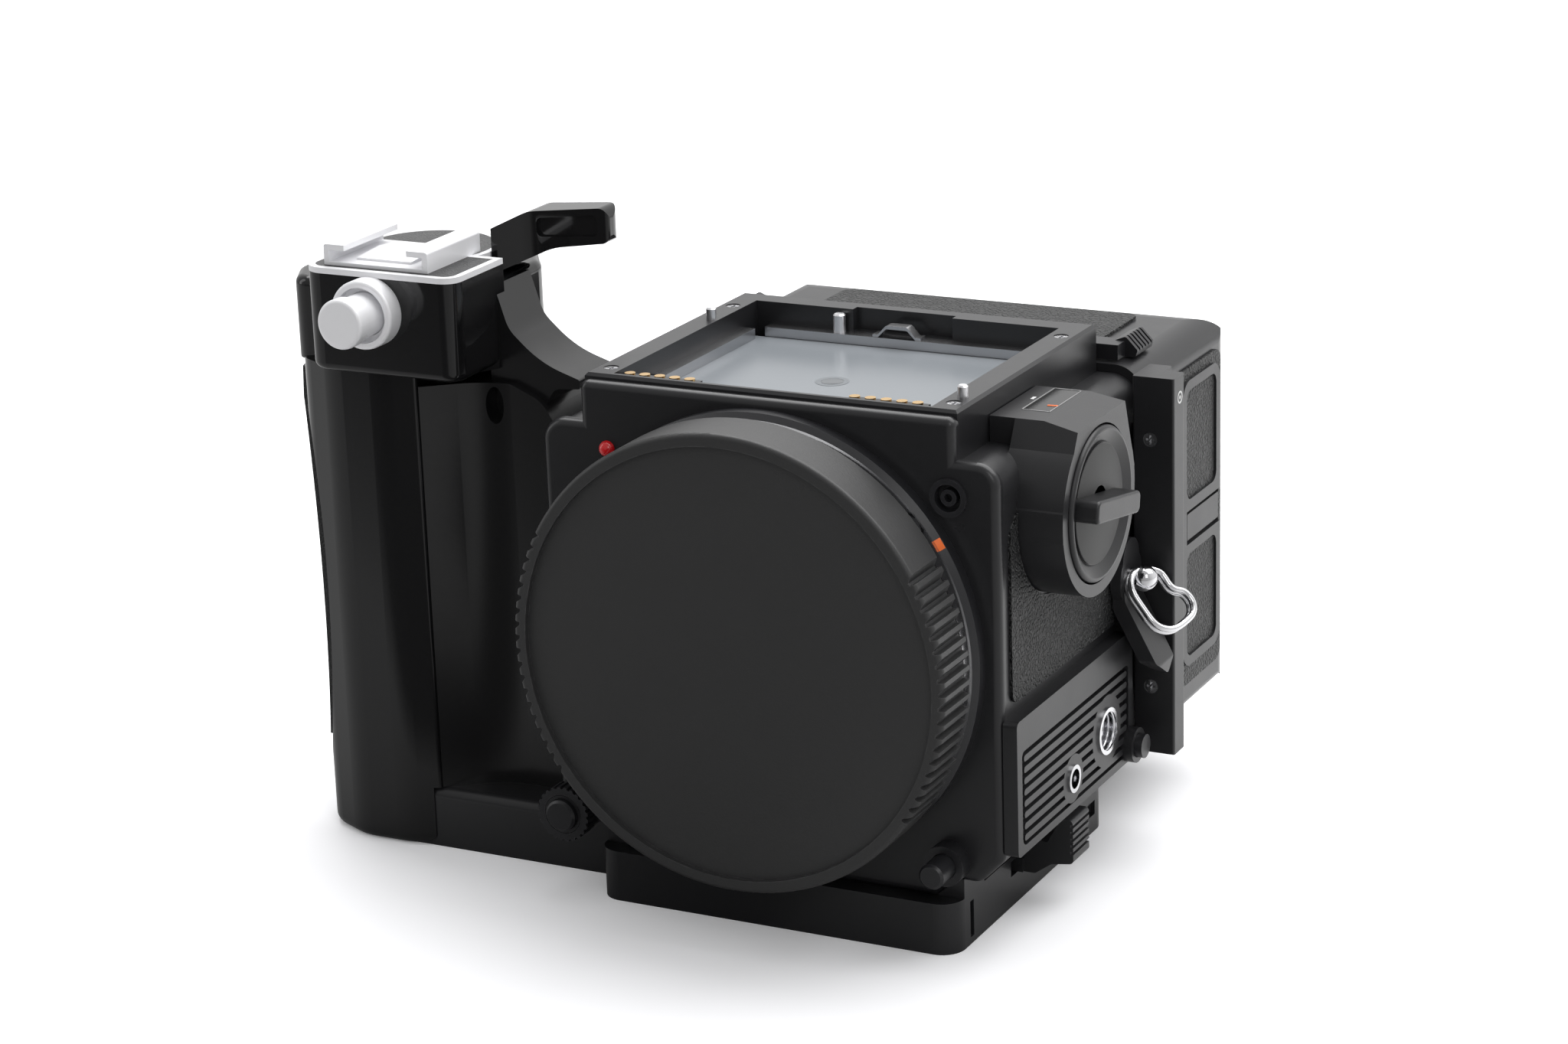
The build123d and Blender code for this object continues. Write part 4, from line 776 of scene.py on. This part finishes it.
# the way to the brightest part of the room, and how bright the room looks in gloss, from the side opposite
# that (0) round to it (1)
ROOM_BRIGHT_WAY = (0.35, 0.91, 0.24)
ROOM_STOPS = [(0.0, 0.06), (0.03, 0.09), (0.065, 0.36), (0.5, 0.5), (0.8, 0.85), (1.0, 1.0)]
FLOOR_RADIUS = 3.0
# what the floor gives back to bounced light, and its white, the white's blue share and its glow to the camera
FLOOR_GREY = 0.6
FLOOR_WHITE = 1.12
FLOOR_BLUE = 1.02
FLOOR_GLOW = 0.11
STUDIO_LAMPS = [
    # name, place, target, width, height, watts
    ("overhead_box", (0.05, 0.35, 0.85), (0.0, 0.0, 0.05), 1.7, 0.8, 13.0),
    ("left_box", (-0.95, -0.3, 0.42), (0.0, 0.0, 0.06), 0.3, 0.8, 1.0),
    ("right_box", (0.75, -0.75, 0.75), (0.0, 0.0, 0.06), 0.35, 0.6, 1.5),
]


def room_glow(tree, way):
    """How bright the studio looks in gloss along a direction."""
    level = add_node(tree, "ShaderNodeVectorMath", [(0, way)], operation="NORMALIZE")
    along = add_node(
        tree, "ShaderNodeVectorMath", [(0, level.outputs[0]), (1, ROOM_BRIGHT_WAY)], operation="DOT_PRODUCT"
    )
    part = add_node(
        tree, "ShaderNodeMapRange", [("Value", along.outputs["Value"]), ("From Min", -1.0), ("From Max", 1.0)]
    )
    ramp = add_node(tree, "ShaderNodeValToRGB", [("Fac", part.outputs[0])])
    stops = ramp.color_ramp.elements
    while len(stops) < len(ROOM_STOPS):
        stops.new(0.5)
    for stop, (place, value) in zip(stops, ROOM_STOPS):
        stop.position = place
        stop.color = grey(value)
    return ramp.outputs["Color"]


def make_floor():
    """A wide pale floor, white to the camera with the shadow kept; to gloss its colour is painted shade and
    light, darker on the camera's side and lighter behind.
    """
    bpy.ops.mesh.primitive_circle_add(
        vertices=64, radius=FLOOR_RADIUS, fill_type="NGON", location=(0, 0, CAD_BOX[0].z)
    )
    floor = bpy.context.object
    floor.name = "floor"
    material = bpy.data.materials.new("floor_paper")
    material.use_nodes = True
    tree = material.node_tree
    tree.nodes.clear()
    path = add_node(tree, "ShaderNodeLightPath")
    place = add_node(tree, "ShaderNodeTexCoord")
    # painted shade: to gloss rays the floor's own colour follows the room's light, darker towards the camera
    # and lighter behind
    tones = room_glow(tree, place.outputs["Object"])
    plain = mix_colours(tree, path.outputs["Is Glossy Ray"], grey(FLOOR_GREY), tones)
    white = (FLOOR_WHITE, FLOOR_WHITE, FLOOR_WHITE * FLOOR_BLUE, 1.0)
    colour = mix_colours(tree, path.outputs["Is Camera Ray"], plain, white)
    paper = add_node(tree, "ShaderNodeBsdfDiffuse", [("Color", colour)])
    seen = add_node(
        tree, "ShaderNodeMath", [(0, path.outputs["Is Camera Ray"]), (1, FLOOR_GLOW)], operation="MULTIPLY"
    )
    glow = add_node(tree, "ShaderNodeEmission", [("Color", grey(1.0)), ("Strength", seen.outputs[0])])
    both = add_node(tree, "ShaderNodeAddShader", [(0, paper.outputs[0]), (1, glow.outputs[0])])
    end = add_node(tree, "ShaderNodeOutputMaterial", [("Surface", both.outputs[0])])
    end.is_active_output = True
    floor.data.materials.append(material)


def make_world():
    """White to the camera; gloss and glass see the studio, and everything else an even soft light."""
    world = bpy.data.worlds.new("studio_world")
    bpy.context.scene.world = world
    world.use_nodes = True
    world.cycles.sampling_method = "NONE"
    tree = world.node_tree
    tree.nodes.clear()
    path = add_node(tree, "ShaderNodeLightPath")
    way = add_node(tree, "ShaderNodeTexCoord")
    mirrored = add_node(
        tree, "ShaderNodeMath",
        [(0, path.outputs["Is Glossy Ray"]), (1, path.outputs["Is Transmission Ray"])], operation="MAXIMUM",
    )
    tones = room_glow(tree, way.outputs["Generated"])
    around = mix_colours(tree, mirrored.outputs[0], grey(AMBIENT), tones)
    colour = mix_colours(tree, path.outputs["Is Camera Ray"], around, grey(1.0))
    sky = add_node(tree, "ShaderNodeBackground", [("Color", colour)])
    add_node(tree, "ShaderNodeOutputWorld", [("Surface", sky.outputs[0])])


def aim(place, target, roll=0.0):
    """Turns an object's -Z towards a target, level unless it is rolled."""
    back = (Vector(place) - Vector(target)).normalized()
    right = Vector((0, 0, 1)).cross(back).normalized()
    up = back.cross(right)
    across = right * math.cos(roll) + up * math.sin(roll)
    over = up * math.cos(roll) - right * math.sin(roll)
    turned = Matrix((across, over, back)).transposed()
    return Matrix.Translation(Vector(place)) @ turned.to_4x4()


class FILMCAM_OT_stage(Operator):
    """Set up the pale floor, the soft lamps, the world and the camera"""

    bl_idname = "filmcam.stage"
    bl_label = "Stage"

    def execute(self, context):
        context.scene.view_settings.view_transform = "Standard"
        make_floor()
        make_world()
        for name, place, target, width, height, watts in STUDIO_LAMPS:
            lamp = bpy.data.lights.new(name, "AREA")
            lamp.shape = "RECTANGLE"
            lamp.size, lamp.size_y, lamp.energy = width, height, watts
            holder = bpy.data.objects.new(name, lamp)
            context.scene.collection.objects.link(holder)
            holder.matrix_world = aim(place, target)
        view = bpy.data.cameras.new("studio_camera")
        view.lens, view.sensor_width, view.sensor_fit = LENS_LENGTH, SENSOR_WIDTH, "HORIZONTAL"
        view.clip_start, view.clip_end = VIEW_CLIP
        holder = bpy.data.objects.new("studio_camera", view)
        context.scene.collection.objects.link(holder)
        holder.matrix_world = aim(CAMERA_PLACE, CAMERA_TARGET, CAMERA_ROLL)
        context.scene.camera = holder
        return {"FINISHED"}


class FILMCAM_PT_panel(Panel):
    """Lists the steps that dress the camera"""

    bl_label = "Film camera"
    bl_idname = "FILMCAM_PT_panel"
    bl_space_type = "VIEW_3D"
    bl_region_type = "UI"
    bl_category = "Film camera"

    def draw(self, context):
        for step in STEPS:
            self.layout.operator(step.bl_idname)
        for values in (context.scene.film_camera_sizes, context.scene.film_camera_colours):
            for name in type(values).__annotations__:
                self.layout.prop(values, name)


STEPS = [
    FILMCAM_OT_finishes,
    FILMCAM_OT_strap_ring,
    FILMCAM_OT_screen_spot,
    FILMCAM_OT_dial_details,
    FILMCAM_OT_marks,
    FILMCAM_OT_socket_threads,
    FILMCAM_OT_stage,
]
CLASSES = [CameraColours, CameraSizes, *STEPS, FILMCAM_PT_panel]


def register():
    for cls in CLASSES:
        bpy.utils.register_class(cls)
    bpy.types.Scene.film_camera_colours = PointerProperty(type=CameraColours)
    bpy.types.Scene.film_camera_sizes = PointerProperty(type=CameraSizes)


def unregister():
    del bpy.types.Scene.film_camera_sizes
    del bpy.types.Scene.film_camera_colours
    for cls in reversed(CLASSES):
        bpy.utils.unregister_class(cls)


def main():
    register()
    bpy.ops.object.select_all(action="DESELECT")
    bpy.ops.filmcam.finishes()
    bpy.ops.filmcam.strap_ring()
    bpy.ops.filmcam.screen_spot()
    bpy.ops.filmcam.dial_details()
    bpy.ops.filmcam.marks()
    bpy.ops.filmcam.socket_threads()
    bpy.ops.filmcam.stage()


if __name__ == "__main__":
    main()
